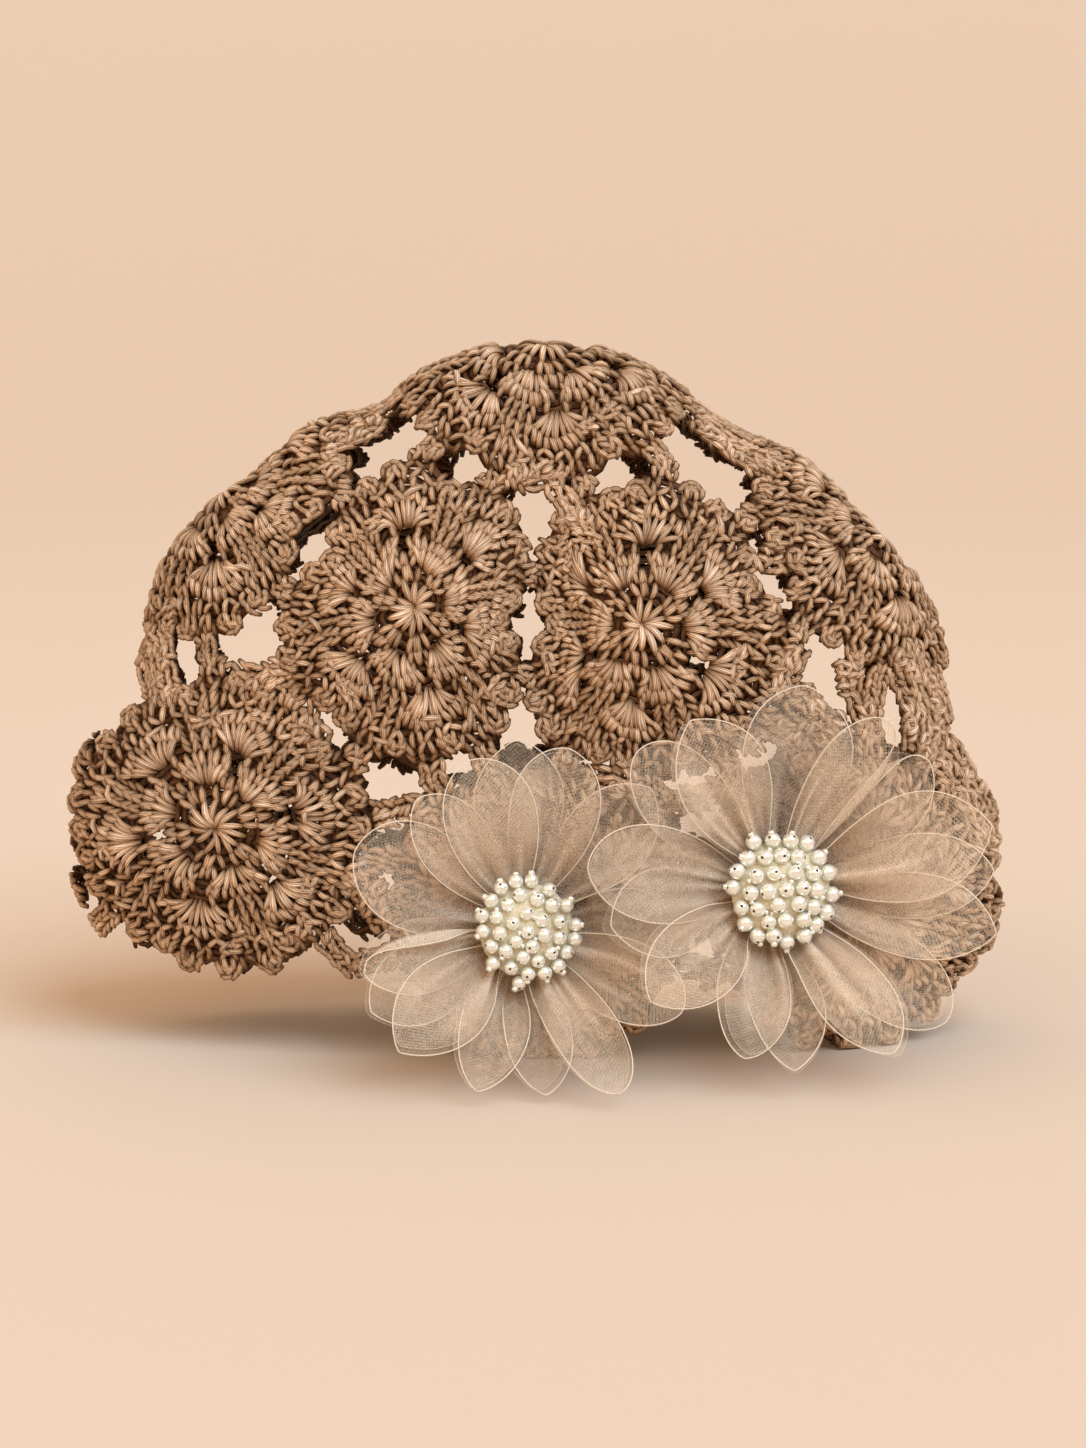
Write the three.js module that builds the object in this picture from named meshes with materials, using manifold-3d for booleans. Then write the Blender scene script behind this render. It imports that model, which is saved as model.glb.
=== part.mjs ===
// A crochet hat of thirteen joined flower motifs, with two organza flowers sewn on the front.
// Millimetres, +Z up. The hat stands on its rim at z = 0, its crest is the fold along the top,
// and its front, with the flowers, faces -Y.
import * as THREE from "three";
import { mergeVertices } from "three/addons/utils/BufferGeometryUtils.js";
import Module from "manifold-3d";

const wasm = await Module();
wasm.setup();

// The hat's wall follows a flattened egg: half its width, depth and height, and its middle's height.
const HALF_WIDTH = 128.5;
const HALF_DEPTH = 36;
const HALF_HEIGHT = 142;
const MIDDLE_Z = 53;
const WALL = 4.2;

// The origin is under the middle of the whole hat's box. The wall's own middle is beside it, towards
// the back, because the flowers stand out at the front.
const WALL_MIDDLE = { x: 1, y: 25.2 };

// Where the wall bulges (push above 0) or is dented: the middle of each place, the wall that it is
// on, how far it goes, and how widely it spreads across and up.
const RELIEF = [
  { x: 4, z: 122, wall: "front", push: -8, across: 11, up: 38 },
  { x: 42, z: 118, wall: "front", push: 5, across: 20, up: 26 },
  { x: -40, z: 118, wall: "front", push: 3, across: 22, up: 26 },
  { x: 52, z: 172, wall: "both", push: -6, across: 13, up: 16 },
  { x: -48, z: 178, wall: "both", push: -4, across: 9, up: 14 },
  { x: -112, z: 108, wall: "both", push: -3, across: 22, up: 13 },
  { x: 8, z: 120, wall: "back", push: -6, across: 14, up: 36 },
  { x: -127, z: 62, wall: "both", push: 9, across: 20, up: 20 },
  { x: -84, z: 166, wall: "both", push: -5, across: 16, up: 14 },
  { x: 98, z: 155, wall: "both", push: -7, across: 26, up: 20 },
  { x: 120, z: 100, wall: "both", push: -3, across: 22, up: 18 },
  { x: 127, z: 44, wall: "both", push: 6, across: 14, up: 16 },
];

// A motif's plain radius, the reach of its rim scallops, and how far its middle domes out.
const BODY_RADIUS = 40.5;
const SCALLOP_REACH = 45;
const RIM_NOTCH = 41.5;
const RIM_SCALLOP_DEG = 20;
const DOME = 4;

// Two motifs meet at joints on the line midway between them, and are open between the joints.
const JOINT_GAP = 0.28;
const JOINT_HALF_WIDTH = 4.2;
const JOINT_SPREAD = 0.24;
const JOINTED_EDGE_STEPS = { one: 3, two: 8 };
const OPEN_GAP = 5;

// How finely a motif's ground is felt out from its middle, how far, and how near the floor the
// rim's free edge is.
const GROUND_STEPS = 120;
const GROUND_LIMIT = 70;
const WALK_STEP = 1.5;
const RIM_ZONE = 6;

// The lace inside a motif: rings as shares of its radius, and the holes between two of them.
const RING_SIDES = 18;
const STAR_RING = 0.28;
const HOLE_RINGS = [0.42, 0.54];
const OUTER_RING = 0.8;
const HOLE_EVERY = 3;

// The motifs: where each one's star is, seen from the front, the wall that it is on, and how far
// its lace is turned.
const MOTIFS = [
  { name: "crown_motif", x: 1, z: 195, wall: "crest", turn: 10 },
  { name: "left_fold_motif", x: -91.6, z: 157.5, wall: "front", turn: -8 },
  { name: "right_fold_motif", x: 97.6, z: 146.8, wall: "front", turn: 20 },
  { name: "front_left_motif", x: -34.7, z: 127.1, wall: "front", turn: 12 },
  { name: "front_right_motif", x: 27.3, z: 123, wall: "front", turn: -5 },
  { name: "front_rim_left_motif", x: -89.3, z: 66, wall: "front", turn: -16 },
  { name: "front_rim_middle_motif", x: 0, z: 42.5, wall: "front", turn: 8 },
  { name: "front_rim_right_motif", x: 89.3, z: 43, wall: "front", turn: -14 },
  { name: "back_left_motif", x: -36.6, z: 112, wall: "back", turn: 5 },
  { name: "back_right_motif", x: 28.8, z: 108, wall: "back", turn: -12 },
  { name: "back_rim_left_motif", x: -91, z: 56, wall: "back", turn: 18 },
  { name: "back_rim_middle_motif", x: 0, z: 40, wall: "back", turn: -6 },
  { name: "back_rim_right_motif", x: 91, z: 41, wall: "back", turn: 14 },
];

// The flowers: the middle of each one's sewn base, how far it faces up and to its right, and the
// size of its pearl heart.
const FLOWERS = [
  { name: "left_flower", x: -5.5, y: -43.6, z: 40, up: 10, side: 8, heart: 0.93 },
  { name: "right_flower", x: 64.5, y: -38, z: 50, up: 9, side: 10, heart: 1 },
];

// The petals: which way each points in the flower's plane (0 is right, 90 is up), its size, and
// the layer that it is sewn in, 0 nearest the hat.
const PETALS = {
  left_flower: [
    { at: 108, length: 44, width: 27, layer: 3 },
    { at: 76, length: 45, width: 25, layer: 2 },
    { at: 129, length: 42, width: 21, layer: 2 },
    { at: 191, length: 50, width: 24, layer: 2 },
    { at: 218, length: 56, width: 31, layer: 3 },
    { at: 247, length: 53, width: 26, layer: 2 },
    { at: 295, length: 60, width: 26, layer: 3 },
    { at: 330, length: 50, width: 28, layer: 2 },
    { at: 91, length: 46, width: 24, layer: 0 },
    { at: 154, length: 48, width: 30, layer: 1 },
    { at: 204, length: 50, width: 24, layer: 0 },
    { at: 272, length: 50, width: 24, layer: 1 },
    { at: 47, length: 46, width: 24, layer: 1 },
    { at: 357, length: 36, width: 24, layer: 0 },
  ],
  right_flower: [
    { at: 119, length: 50, width: 28, layer: 3 },
    { at: 57, length: 50, width: 22, layer: 2 },
    { at: 17, length: 57, width: 32, layer: 3 },
    { at: -13, length: 59, width: 28, layer: 2 },
    { at: -63, length: 61, width: 29, layer: 3 },
    { at: 248, length: 55, width: 27, layer: 2 },
    { at: 212, length: 57, width: 31, layer: 3 },
    { at: 171, length: 56, width: 29, layer: 2 },
    { at: 81, length: 50, width: 30, layer: 0 },
    { at: 40, length: 49, width: 24, layer: 1 },
    { at: 4, length: 55, width: 24, layer: 0 },
    { at: -42, length: 58, width: 29, layer: 1 },
    { at: 266, length: 55, width: 27, layer: 1 },
    { at: 188, length: 50, width: 26, layer: 0 },
    { at: 136, length: 52, width: 24, layer: 1 },
  ],
};
const PETAL_SHEET = 1;
const PETAL_ROOT_RADIUS = 8;
const PETAL_ROOT_WIDTH = 5;
const PETAL_TIP_WIDTH = 2;
const PETAL_CUP = 1.9;
const PETAL_ROWS = [0, 0.2, 0.45, 0.7, 0.9, 1];
const PETAL_COLUMNS = [-1, -0.4, 0.4, 1];
const PETAL_STEPS = 12;

// Petals lie low at the root, then rise off the flower's plane, less at its top than at its bottom,
// and ease back towards their tips. Their layers are close at the root and apart further out.
const PETAL_RISE = { root: 8, top: 23, bottom: 60, fullAt: 26, easeBack: 20, easedAt: 60 };
const LAYER_GAP = { root: 1.4, spread: 3.2, spreadAt: 0.4 };

// A flower's heart: pearls in rings round one middle pearl, half sunk in a domed pad on a stem.
const PEARL_RADIUS = 2.3;
const PEARL_SIDES = 10;
const PEARL_RINGS = 3;
const PEARL_PITCH = 4.75;
const HEART_SEAT = 11.5;
const HEART_DOME = 5.6;
const HEART_SIDES = 20;
const HEART_RIM = 0.4;
const HEART_UNDERCUT = 2.5;
const STEM_RADIUS = 6.5;
const STEM_FOOT = -0.9;

const COLOURS = { cord: 0x9f7a5d, organza: 0xcfae90, pearl: 0xece2c8 };
const UP = new THREE.Vector3(0, 0, 1);
const BACKWARDS = new THREE.Vector3(0, 1, 0);

// A point brought onto the hat's surface, and the way out of the surface there.
function ontoSurface(point) {
  const out = new THREE.Vector3();
  for (let pass = 0; pass < 3; pass += 1) {
    const z = point.z - MIDDLE_Z;
    const depth =
      (point.x / HALF_WIDTH) ** 2 + (point.y / HALF_DEPTH) ** 2 + (z / HALF_HEIGHT) ** 2 - 1;
    out.set(point.x / HALF_WIDTH ** 2, point.y / HALF_DEPTH ** 2, z / HALF_HEIGHT ** 2);
    point.addScaledVector(out, -depth / (2 * out.lengthSq()));
  }
  return out.normalize();
}

// How far the wall's relief pushes a point out, or in where it is below 0.
function reliefAt(point) {
  let total = 0;
  for (const { x, z, wall, push, across, up } of RELIEF) {
    const onWall = wall === "both" || (wall === "front") === (point.y < 0);
    const off = ((point.x - x) / across) ** 2 + ((point.z - z) / up) ** 2;
    if (onWall) total += push * Math.exp(-off / 2);
  }
  return total;
}

// A motif's middle on the surface, with its own right, up and outward directions.
function placeMotif({ x, z, wall }) {
  const within = 1 - (x / HALF_WIDTH) ** 2 - ((z - MIDDLE_Z) / HALF_HEIGHT) ** 2;
  const depth = HALF_DEPTH * Math.sqrt(Math.max(within, 0));
  const middle = new THREE.Vector3(x, wall === "back" ? depth : -depth, z);
  const out = ontoSurface(middle);
  const right = new THREE.Vector3().crossVectors(wall === "crest" ? BACKWARDS : UP, out).normalize();
  return { middle, out, right, up: new THREE.Vector3().crossVectors(out, right) };
}

// The point and outward direction reached by walking along the surface from a motif's middle.
// onStep, if given, sees each point and can stop the walk.
function walk(place, angle, distance, onStep = () => false) {
  const point = place.middle.clone();
  const heading = place.right.clone().multiplyScalar(Math.cos(angle));
  heading.addScaledVector(place.up, Math.sin(angle));
  let out = place.out;
  for (let gone = 0; gone < distance; ) {
    const step = Math.min(WALK_STEP, distance - gone);
    point.addScaledVector(heading, step);
    out = ontoSurface(point);
    heading.addScaledVector(out, -heading.dot(out)).normalize();
    gone += step;
    if (onStep(point, gone)) break;
  }
  return { point, out };
}

// How far a motif's ground reaches each way: to the line midway to a neighbour, or to its free edge.
function groundOf(places, self) {
  return Array.from({ length: GROUND_STEPS }, (_, k) => {
    const angle = (k / GROUND_STEPS) * 2 * Math.PI;
    let found = { reach: SCALLOP_REACH, neighbour: -1 };
    let before = 0;
    let lead = 0;
    const { point: end } = walk(places[self], angle, GROUND_LIMIT, (point, gone) => {
      const own = point.distanceTo(places[self].middle);
      let nearest = -1;
      let excess = -Infinity;
      places.forEach((place, other) => {
        const by = own - point.distanceTo(place.middle);
        if (other !== self && by > excess) [nearest, excess] = [other, by];
      });
      if (excess < 0) {
        [before, lead] = [gone, excess];
        return false;
      }
      const share = lead / (lead - excess);
      found = { reach: before + share * (gone - before), neighbour: nearest };
      return true;
    });
    if (end.z < RIM_ZONE && found.reach > SCALLOP_REACH) found = { reach: SCALLOP_REACH, neighbour: -1 };
    return { angle, point: end, ...found };
  });
}

// The stretches of a motif's edge that face one neighbour, or none, in order round it.
function stretchesOf(ground) {
  const first = ground.findIndex((g, k) => g.neighbour !== ground.at(k - 1).neighbour);
  const stretches = [];
  for (let k = 0; k < ground.length; k += 1) {
    const turned = first + k >= ground.length;
    const g = ground[(first + k) % ground.length];
    const here = { ...g, angle: g.angle + (turned ? 2 * Math.PI : 0) };
    if (stretches.length && stretches.at(-1).neighbour === g.neighbour) stretches.at(-1).run.push(here);
    else stretches.push({ neighbour: g.neighbour, run: [here] });
  }
  return stretches;
}

// The angle at a share of the way along a run of edge points.
function angleAlong(run, share) {
  const lengths = [0];
  for (let k = 1; k < run.length; k += 1)
    lengths.push(lengths[k - 1] + run[k].point.distanceTo(run[k - 1].point));
  const target = share * lengths.at(-1);
  const k = Math.max(1, lengths.findIndex((l) => l >= target));
  const part = (target - lengths[k - 1]) / (lengths[k] - lengths[k - 1] || 1);
  return run[k - 1].angle + part * (run[k].angle - run[k - 1].angle);
}

// A motif's ground reach at any angle.
function reachAt(ground, angle) {
  const turn = ((angle / (2 * Math.PI)) % 1 + 1) % 1;
  const place = turn * ground.length;
  const low = Math.floor(place) % ground.length;
  const high = (low + 1) % ground.length;
  const share = place - Math.floor(place);
  return ground[low].reach * (1 - share) + ground[high].reach * share;
}

// The angles of a motif's joints, and of its free scallops along the rim.
function tipsOf(ground) {
  const tips = [];
  for (const { neighbour, run } of stretchesOf(ground)) {
    const from = run[0].angle;
    const to = run.at(-1).angle;
    if (neighbour < 0) {
      const count = Math.max(1, Math.round(THREE.MathUtils.radToDeg(to - from) / RIM_SCALLOP_DEG));
      for (let k = 0; k < count; k += 1)
        tips.push({ angle: from + ((k + 0.5) / count) * (to - from), joint: false });
    } else if (run.length >= JOINTED_EDGE_STEPS.two) {
      for (const side of [-1, 1])
        tips.push({ angle: angleAlong(run, 0.5 + side * JOINT_SPREAD), joint: true });
    } else if (run.length >= JOINTED_EDGE_STEPS.one) {
      tips.push({ angle: angleAlong(run, 0.5), joint: true });
    }
  }
  return tips.sort((a, b) => a.angle - b.angle);
}

// A motif's outline: two corners for each tip, and a notch between each tip and the next.
function outlineOf(ground) {
  const tips = tipsOf(ground);
  const corners = [];
  tips.forEach((tip, k) => {
    const reach = reachAt(ground, tip.angle) - JOINT_GAP;
    const half = JOINT_HALF_WIDTH / reach;
    for (const angle of [tip.angle - half, tip.angle + half])
      corners.push({ angle, radius: reachAt(ground, angle) - JOINT_GAP });
    const next = k + 1 < tips.length ? tips[k + 1] : { ...tips[0], angle: tips[0].angle + 2 * Math.PI };
    const angle = (tip.angle + next.angle) / 2;
    const free = !tip.joint && !next.joint;
    const room = reachAt(ground, angle) - OPEN_GAP;
    corners.push({ angle, radius: free ? RIM_NOTCH : Math.min(BODY_RADIUS, room) });
  });
  return corners;
}

// A ring of even corners inside a motif, at a share of its radius.
function ringOf(ground, share, sides, turn) {
  return Array.from({ length: sides }, (_, k) => {
    const angle = THREE.MathUtils.degToRad(turn) + (k / sides) * 2 * Math.PI;
    return { angle, radius: share * Math.min(BODY_RADIUS, reachAt(ground, angle) - OPEN_GAP), share };
  });
}

// Triangles between two rings of corners, worked round both in order of angle. keep says which of
// the inner ring's cells are filled.
function zip(inner, outer, innerStart, outerStart, keep = () => true) {
  const triangles = [];
  const turn = 2 * Math.PI;
  const wrapped = (ring, k) => ring[k % ring.length].angle + turn * Math.floor(k / ring.length);
  let shift = 0;
  while (wrapped(outer, shift) < inner[0].angle - 1e-9) shift += 1;
  while (shift > 0 && wrapped(outer, shift - 1) >= inner[0].angle - 1e-9) shift -= 1;
  for (let i = 0, o = 0; i < inner.length || o < outer.length; ) {
    const a = innerStart + (i % inner.length);
    const b = outerStart + ((o + shift) % outer.length);
    const stepOuter =
      i >= inner.length ||
      (o < outer.length && wrapped(outer, o + shift + 1) <= wrapped(inner, i + 1) + 1e-9);
    const next = stepOuter
      ? outerStart + ((o + 1 + shift) % outer.length)
      : innerStart + ((i + 1) % inner.length);
    if (keep(i % inner.length)) triangles.push([a, b, next]);
    if (stepOuter) o += 1;
    else i += 1;
  }
  return triangles;
}

// A closed solid from a sheet of triangles, given each corner's place on the front and the back.
// Every edge that only one triangle uses gets a wall.
function thicken(triangles, front, back) {
  const corners = [...front, ...back];
  const count = front.length;
  const faces = [];
  const used = new Map();
  for (const [a, b, c] of triangles) {
    faces.push([a, b, c], [a + count, c + count, b + count]);
    for (const [from, to] of [[a, b], [b, c], [c, a]]) used.set(`${from},${to}`, [from, to]);
  }
  for (const [from, to] of used.values()) {
    if (used.has(`${to},${from}`)) continue;
    faces.push([to, from, from + count], [to, from + count, to + count]);
  }
  const geometry = new THREE.BufferGeometry();
  geometry.setAttribute(
    "position",
    new THREE.Float32BufferAttribute(corners.flatMap((p) => [p.x, p.y, p.z]), 3),
  );
  geometry.setIndex(faces.flat());
  return geometry;
}

// One motif's solid: a domed disc of lace that follows the hat's surface, its holes cut through.
function motifGeometry(place, ground, turn) {
  const outline = outlineOf(ground);
  const star = ringOf(ground, STAR_RING, RING_SIDES / 2, turn);
  const lace = [...HOLE_RINGS, OUTER_RING].map((share) => ringOf(ground, share, RING_SIDES, turn));
  const rings = [star, ...lace, outline.map((corner) => ({ ...corner, share: 1 }))];
  const starts = [1];
  for (const ring of rings) starts.push(starts.at(-1) + ring.length);
  const corners = [{ angle: 0, radius: 0, share: 0 }, ...rings.flat()];
  const triangles = star.map((_, k) => [0, 1 + k, 1 + ((k + 1) % star.length)]);
  for (let k = 0; k + 1 < rings.length; k += 1) {
    const holed = k === 1;
    const keep = (cell) => !holed || cell % HOLE_EVERY !== 1;
    triangles.push(...zip(rings[k], rings[k + 1], starts[k], starts[k + 1], keep));
  }
  const sides = [WALL / 2, -WALL / 2].map((offset) =>
    corners.map(({ angle, radius, share }) => {
      const { point, out } = walk(place, angle, radius);
      return point.clone().addScaledVector(out, offset + DOME * (1 - share ** 2) + reliefAt(point));
    }),
  );
  return thicken(triangles, ...sides);
}

// A geometry as a solid that can be cut.
function solidOf(geometry) {
  const bare = new THREE.BufferGeometry();
  bare.setAttribute("position", geometry.getAttribute("position"));
  if (geometry.index) bare.setIndex(geometry.index);
  const merged = mergeVertices(bare, 1e-3);
  return new wasm.Manifold(
    new wasm.Mesh({
      numProp: 3,
      vertProperties: merged.attributes.position.array,
      triVerts: new Uint32Array(merged.index.array),
    }),
  );
}

// A cut solid as a geometry again.
function geometryOf(solid) {
  const { vertProperties, triVerts } = solid.getMesh();
  const geometry = new THREE.BufferGeometry();
  geometry.setAttribute("position", new THREE.Float32BufferAttribute(vertProperties, 3));
  geometry.setIndex([...triVerts]);
  return geometry;
}

// What rests on the floor is cut flat there.
function cutAtFloor(geometry) {
  const below = 20;
  const floor = new THREE.BoxGeometry(4 * HALF_WIDTH, 6 * HALF_DEPTH, below);
  floor.translate(0, 0, -below / 2);
  return geometryOf(solidOf(geometry).subtract(solidOf(floor)));
}

// A petal's half width, at a share of its length: narrow at the root, full past the middle and
// rounded to its tip.
function petalHalfWidth(share, width) {
  const swell = Math.sin(Math.PI * Math.min(share, 0.985) ** 1.27) ** 0.72;
  const ends = THREE.MathUtils.lerp(PETAL_ROOT_WIDTH, PETAL_TIP_WIDTH, share);
  return (ends + (width - ends) * swell) / 2;
}

// One petal's solid in its flower's frame: a thin cupped sheet on the curve that its flower's
// petals share, lifted clear of the layers under it.
function petalGeometry({ at, length, width, layer }) {
  const middle = THREE.MathUtils.degToRad(at);
  const points = PETAL_ROWS.flatMap((share) => {
    const half = petalHalfWidth(share, width);
    const spread = Math.min(share / LAYER_GAP.spreadAt, 1);
    const lift = layer * THREE.MathUtils.lerp(LAYER_GAP.root, LAYER_GAP.spread, spread);
    return PETAL_COLUMNS.map((column) => {
      const reach = share * length;
      const swing = Math.atan2(column * half, PETAL_ROOT_RADIUS + reach * 0.9);
      const cup = PETAL_CUP * (column * half * 2 / width) ** 2;
      return petalPoint(middle + swing, reach / Math.cos(swing), lift + cup);
    });
  });
  const sheets = [PETAL_SHEET / 2, -PETAL_SHEET / 2].map((offset) =>
    points.map(({ point, out }) => point.clone().addScaledVector(out, offset)),
  );
  const triangles = [];
  const columns = PETAL_COLUMNS.length;
  for (let row = 0; row + 1 < PETAL_ROWS.length; row += 1)
    for (let column = 0; column + 1 < columns; column += 1) {
      const a = row * columns + column;
      triangles.push([a, a + columns, a + columns + 1], [a, a + columns + 1, a + 1]);
    }
  return thicken(triangles, ...sheets);
}

// A point on the curved surface that a flower's petals share, and the way out of it.
function petalPoint(angle, reach, height) {
  const outward = new THREE.Vector3(Math.cos(angle), Math.sin(angle), 0);
  const axis = new THREE.Vector3(0, 0, 1);
  const { root, top, bottom, fullAt, easeBack, easedAt } = PETAL_RISE;
  const rise = THREE.MathUtils.lerp(bottom, top, (1 + Math.sin(angle)) / 2);
  const point = outward.clone().multiplyScalar(PETAL_ROOT_RADIUS);
  let slope = 0;
  for (let k = 0; k < PETAL_STEPS; k += 1) {
    const gone = ((k + 0.5) * reach) / PETAL_STEPS;
    const risen = root + (rise - root) * THREE.MathUtils.smoothstep(gone, 0, fullAt);
    slope = THREE.MathUtils.degToRad(risen - (easeBack * gone) / easedAt);
    point.addScaledVector(outward, (reach / PETAL_STEPS) * Math.cos(slope));
    point.addScaledVector(axis, (reach / PETAL_STEPS) * Math.sin(slope));
  }
  const out = axis.multiplyScalar(Math.cos(slope)).addScaledVector(outward, -Math.sin(slope));
  return { point: point.addScaledVector(out, height), out };
}

// The pearls' places on a heart, in rings laid over its dome.
function pearlPlaces() {
  const places = [];
  for (let ring = 0; ring <= PEARL_RINGS; ring += 1) {
    const count = Math.max(1, 6 * ring);
    const radius = ring * PEARL_PITCH;
    const height = HEART_SEAT + HEART_DOME * (1 - (ring / (PEARL_RINGS + 0.5)) ** 2);
    for (let k = 0; k < count; k += 1) {
      const angle = ((k + 0.5 * (ring % 2)) / count) * 2 * Math.PI;
      places.push(new THREE.Vector3(radius * Math.cos(angle), radius * Math.sin(angle), height));
    }
  }
  return places;
}

// A level ring of corners, added to a list of points. Returns the corners' numbers.
function addRing(points, sides, radius, middle) {
  const first = points.length;
  for (let k = 0; k < sides; k += 1) {
    const angle = (k / sides) * 2 * Math.PI;
    const rim = new THREE.Vector3(Math.cos(angle), Math.sin(angle), 0).multiplyScalar(radius);
    points.push(rim.add(middle));
  }
  return Array.from({ length: sides }, (_, k) => first + k);
}

// The band of triangles from a ring to the next one in, or to a single corner in its middle.
function band(ring, inner) {
  return ring.flatMap((corner, k) => {
    const next = (k + 1) % ring.length;
    if (!Array.isArray(inner)) return [[corner, ring[next], inner]];
    return [[corner, ring[next], inner[next]], [corner, inner[next], inner[k]]];
  });
}

// A flower's heart as one solid: half pearls that rise from a domed pad on a short stem.
function heartGeometry(size) {
  const points = [];
  const reach = PEARL_RINGS * PEARL_PITCH + PEARL_RADIUS + HEART_RIM;
  const rim = addRing(points, HEART_SIDES, reach, new THREE.Vector3(0, 0, HEART_SEAT));
  const faces = [];
  const holes = pearlPlaces().map((place) => {
    const waist = addRing(points, PEARL_SIDES, PEARL_RADIUS, place);
    const shoulder = place.clone().setZ(place.z + PEARL_RADIUS * Math.SQRT1_2);
    const upper = addRing(points, PEARL_SIDES, PEARL_RADIUS * Math.SQRT1_2, shoulder);
    points.push(place.clone().setZ(place.z + PEARL_RADIUS));
    faces.push(...band(waist, upper), ...band(upper, points.length - 1));
    return waist;
  });
  const [outer, ...inner] = [rim, ...holes].map((ring) => {
    return ring.map((k) => new THREE.Vector2(points[k].x, points[k].y));
  });
  const numbers = [rim, ...holes].flat();
  for (const face of THREE.ShapeUtils.triangulateShape(outer, inner))
    faces.push(face.map((k) => numbers[k]));
  const neckHeight = HEART_SEAT - HEART_UNDERCUT;
  const neck = addRing(points, HEART_SIDES, STEM_RADIUS, new THREE.Vector3(0, 0, neckHeight));
  const foot = addRing(points, HEART_SIDES, STEM_RADIUS, new THREE.Vector3(0, 0, STEM_FOOT));
  points.push(new THREE.Vector3(0, 0, STEM_FOOT));
  const under = [...band(rim, neck), ...band(neck, foot), ...band(foot, points.length - 1)];
  faces.push(...under.map(([a, b, c]) => [a, c, b]));
  const geometry = new THREE.BufferGeometry();
  const xyz = points.flatMap((p) => [p.x * size, p.y * size, p.z]);
  geometry.setAttribute("position", new THREE.Float32BufferAttribute(xyz, 3));
  geometry.setIndex(faces.flat());
  return geometry;
}

// A named mesh with its own material.
function meshOf(name, geometry, color, roughness) {
  const material = new THREE.MeshStandardMaterial({ color, roughness, metalness: 0 });
  const mesh = new THREE.Mesh(geometry, material);
  mesh.name = name;
  return mesh;
}

// Every motif of the wall. Those along the rim stand on the floor.
function buildMotifs() {
  const group = new THREE.Group();
  const places = MOTIFS.map(placeMotif);
  MOTIFS.forEach(({ name, turn }, k) => {
    const geometry = motifGeometry(places[k], groundOf(places, k), turn);
    const rests = name.includes("rim");
    group.add(meshOf(name, rests ? cutAtFloor(geometry) : geometry, COLOURS.cord, 0.75));
  });
  return group;
}

// A flower's frame: its own z points out of the flower, its y up.
function buildFlower({ name, x, y, z, up, side, heart }) {
  const flower = new THREE.Group();
  flower.position.set(x, y, z);
  const [tilt, turn] = [90 - up, side].map(THREE.MathUtils.degToRad);
  flower.rotation.set(tilt, 0, turn, "ZXY");
  flower.add(meshOf(`${name}_pearl_heart`, heartGeometry(heart), COLOURS.pearl, 0.25));
  PETALS[name].forEach((petal, k) => {
    const label = String(k + 1).padStart(2, "0");
    flower.add(meshOf(`${name}_petal_${label}`, petalGeometry(petal), COLOURS.organza, 0.5));
  });
  return flower;
}

const hat = new THREE.Group();
hat.position.set(WALL_MIDDLE.x, WALL_MIDDLE.y, 0);
hat.add(buildMotifs(), ...FLOWERS.map(buildFlower));

export default hat;
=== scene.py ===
# Crochet hat of joined flower motifs with two organza flowers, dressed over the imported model.
# The scene is in metres. The patterns below are drawn in millimetres and turned into metres last.
import math
from itertools import groupby
import bpy
import numpy as np
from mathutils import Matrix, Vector


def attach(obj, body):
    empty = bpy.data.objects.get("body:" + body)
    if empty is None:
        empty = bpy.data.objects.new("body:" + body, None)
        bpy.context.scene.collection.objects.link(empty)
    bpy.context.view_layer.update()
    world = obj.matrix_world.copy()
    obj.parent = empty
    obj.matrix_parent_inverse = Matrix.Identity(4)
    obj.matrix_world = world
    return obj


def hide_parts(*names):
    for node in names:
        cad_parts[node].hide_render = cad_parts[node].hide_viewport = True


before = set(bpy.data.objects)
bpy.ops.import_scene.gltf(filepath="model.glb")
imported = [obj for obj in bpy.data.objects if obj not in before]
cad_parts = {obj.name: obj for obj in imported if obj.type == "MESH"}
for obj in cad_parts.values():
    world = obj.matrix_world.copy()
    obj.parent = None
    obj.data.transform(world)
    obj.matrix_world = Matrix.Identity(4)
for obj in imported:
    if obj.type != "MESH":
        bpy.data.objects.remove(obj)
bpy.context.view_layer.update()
bpy.ops.object.select_all(action="DESELECT")
print("frame loaded,", len(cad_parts), "nodes")

# The camera first, then the lights and the floor.
camera = {
    "aim": (0.0016, 0.0252, 0.090), "elevation": 10.0, "distance": 1.154, "lens": 100.0, "sensor": 36,
    "sees": 60,
}
# the lamps are suns with wide discs, as soft as large panels: where each shines from, its width and strength
lamps = {
    "key": {"from": (0.9, -1.15, 1.65), "width": 46, "strength": 2.55, "colour": (0.62, 0.82, 1.0)},
    "fill": {"from": (-1.1, -1.3, 0.65), "width": 70, "strength": 0.72, "colour": (1.0, 0.75, 0.53)},
    "back": {"from": (-0.8, 1.1, 1.2), "width": 60, "strength": 0.18, "colour": (1.0, 0.79, 0.60)},
}
sky = {"colour": (1.0, 0.71, 0.48), "strength": 0.74}
floor = {
    "steps": 96, "start": 0.6, "flat": 1.6, "far": 12.0, "rings": 14, "rise": 0.45, "curve": 2.2,
    "upturn": ((12.8, 0.6), (13.4, 0.95), (13.8, 1.5), (14.0, 2.2), (14.1, 3.2)),
    "near": (0.730, 0.605, 0.494), "away": (0.670, 0.539, 0.428), "awayFrom": 0.35,
}


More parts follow.
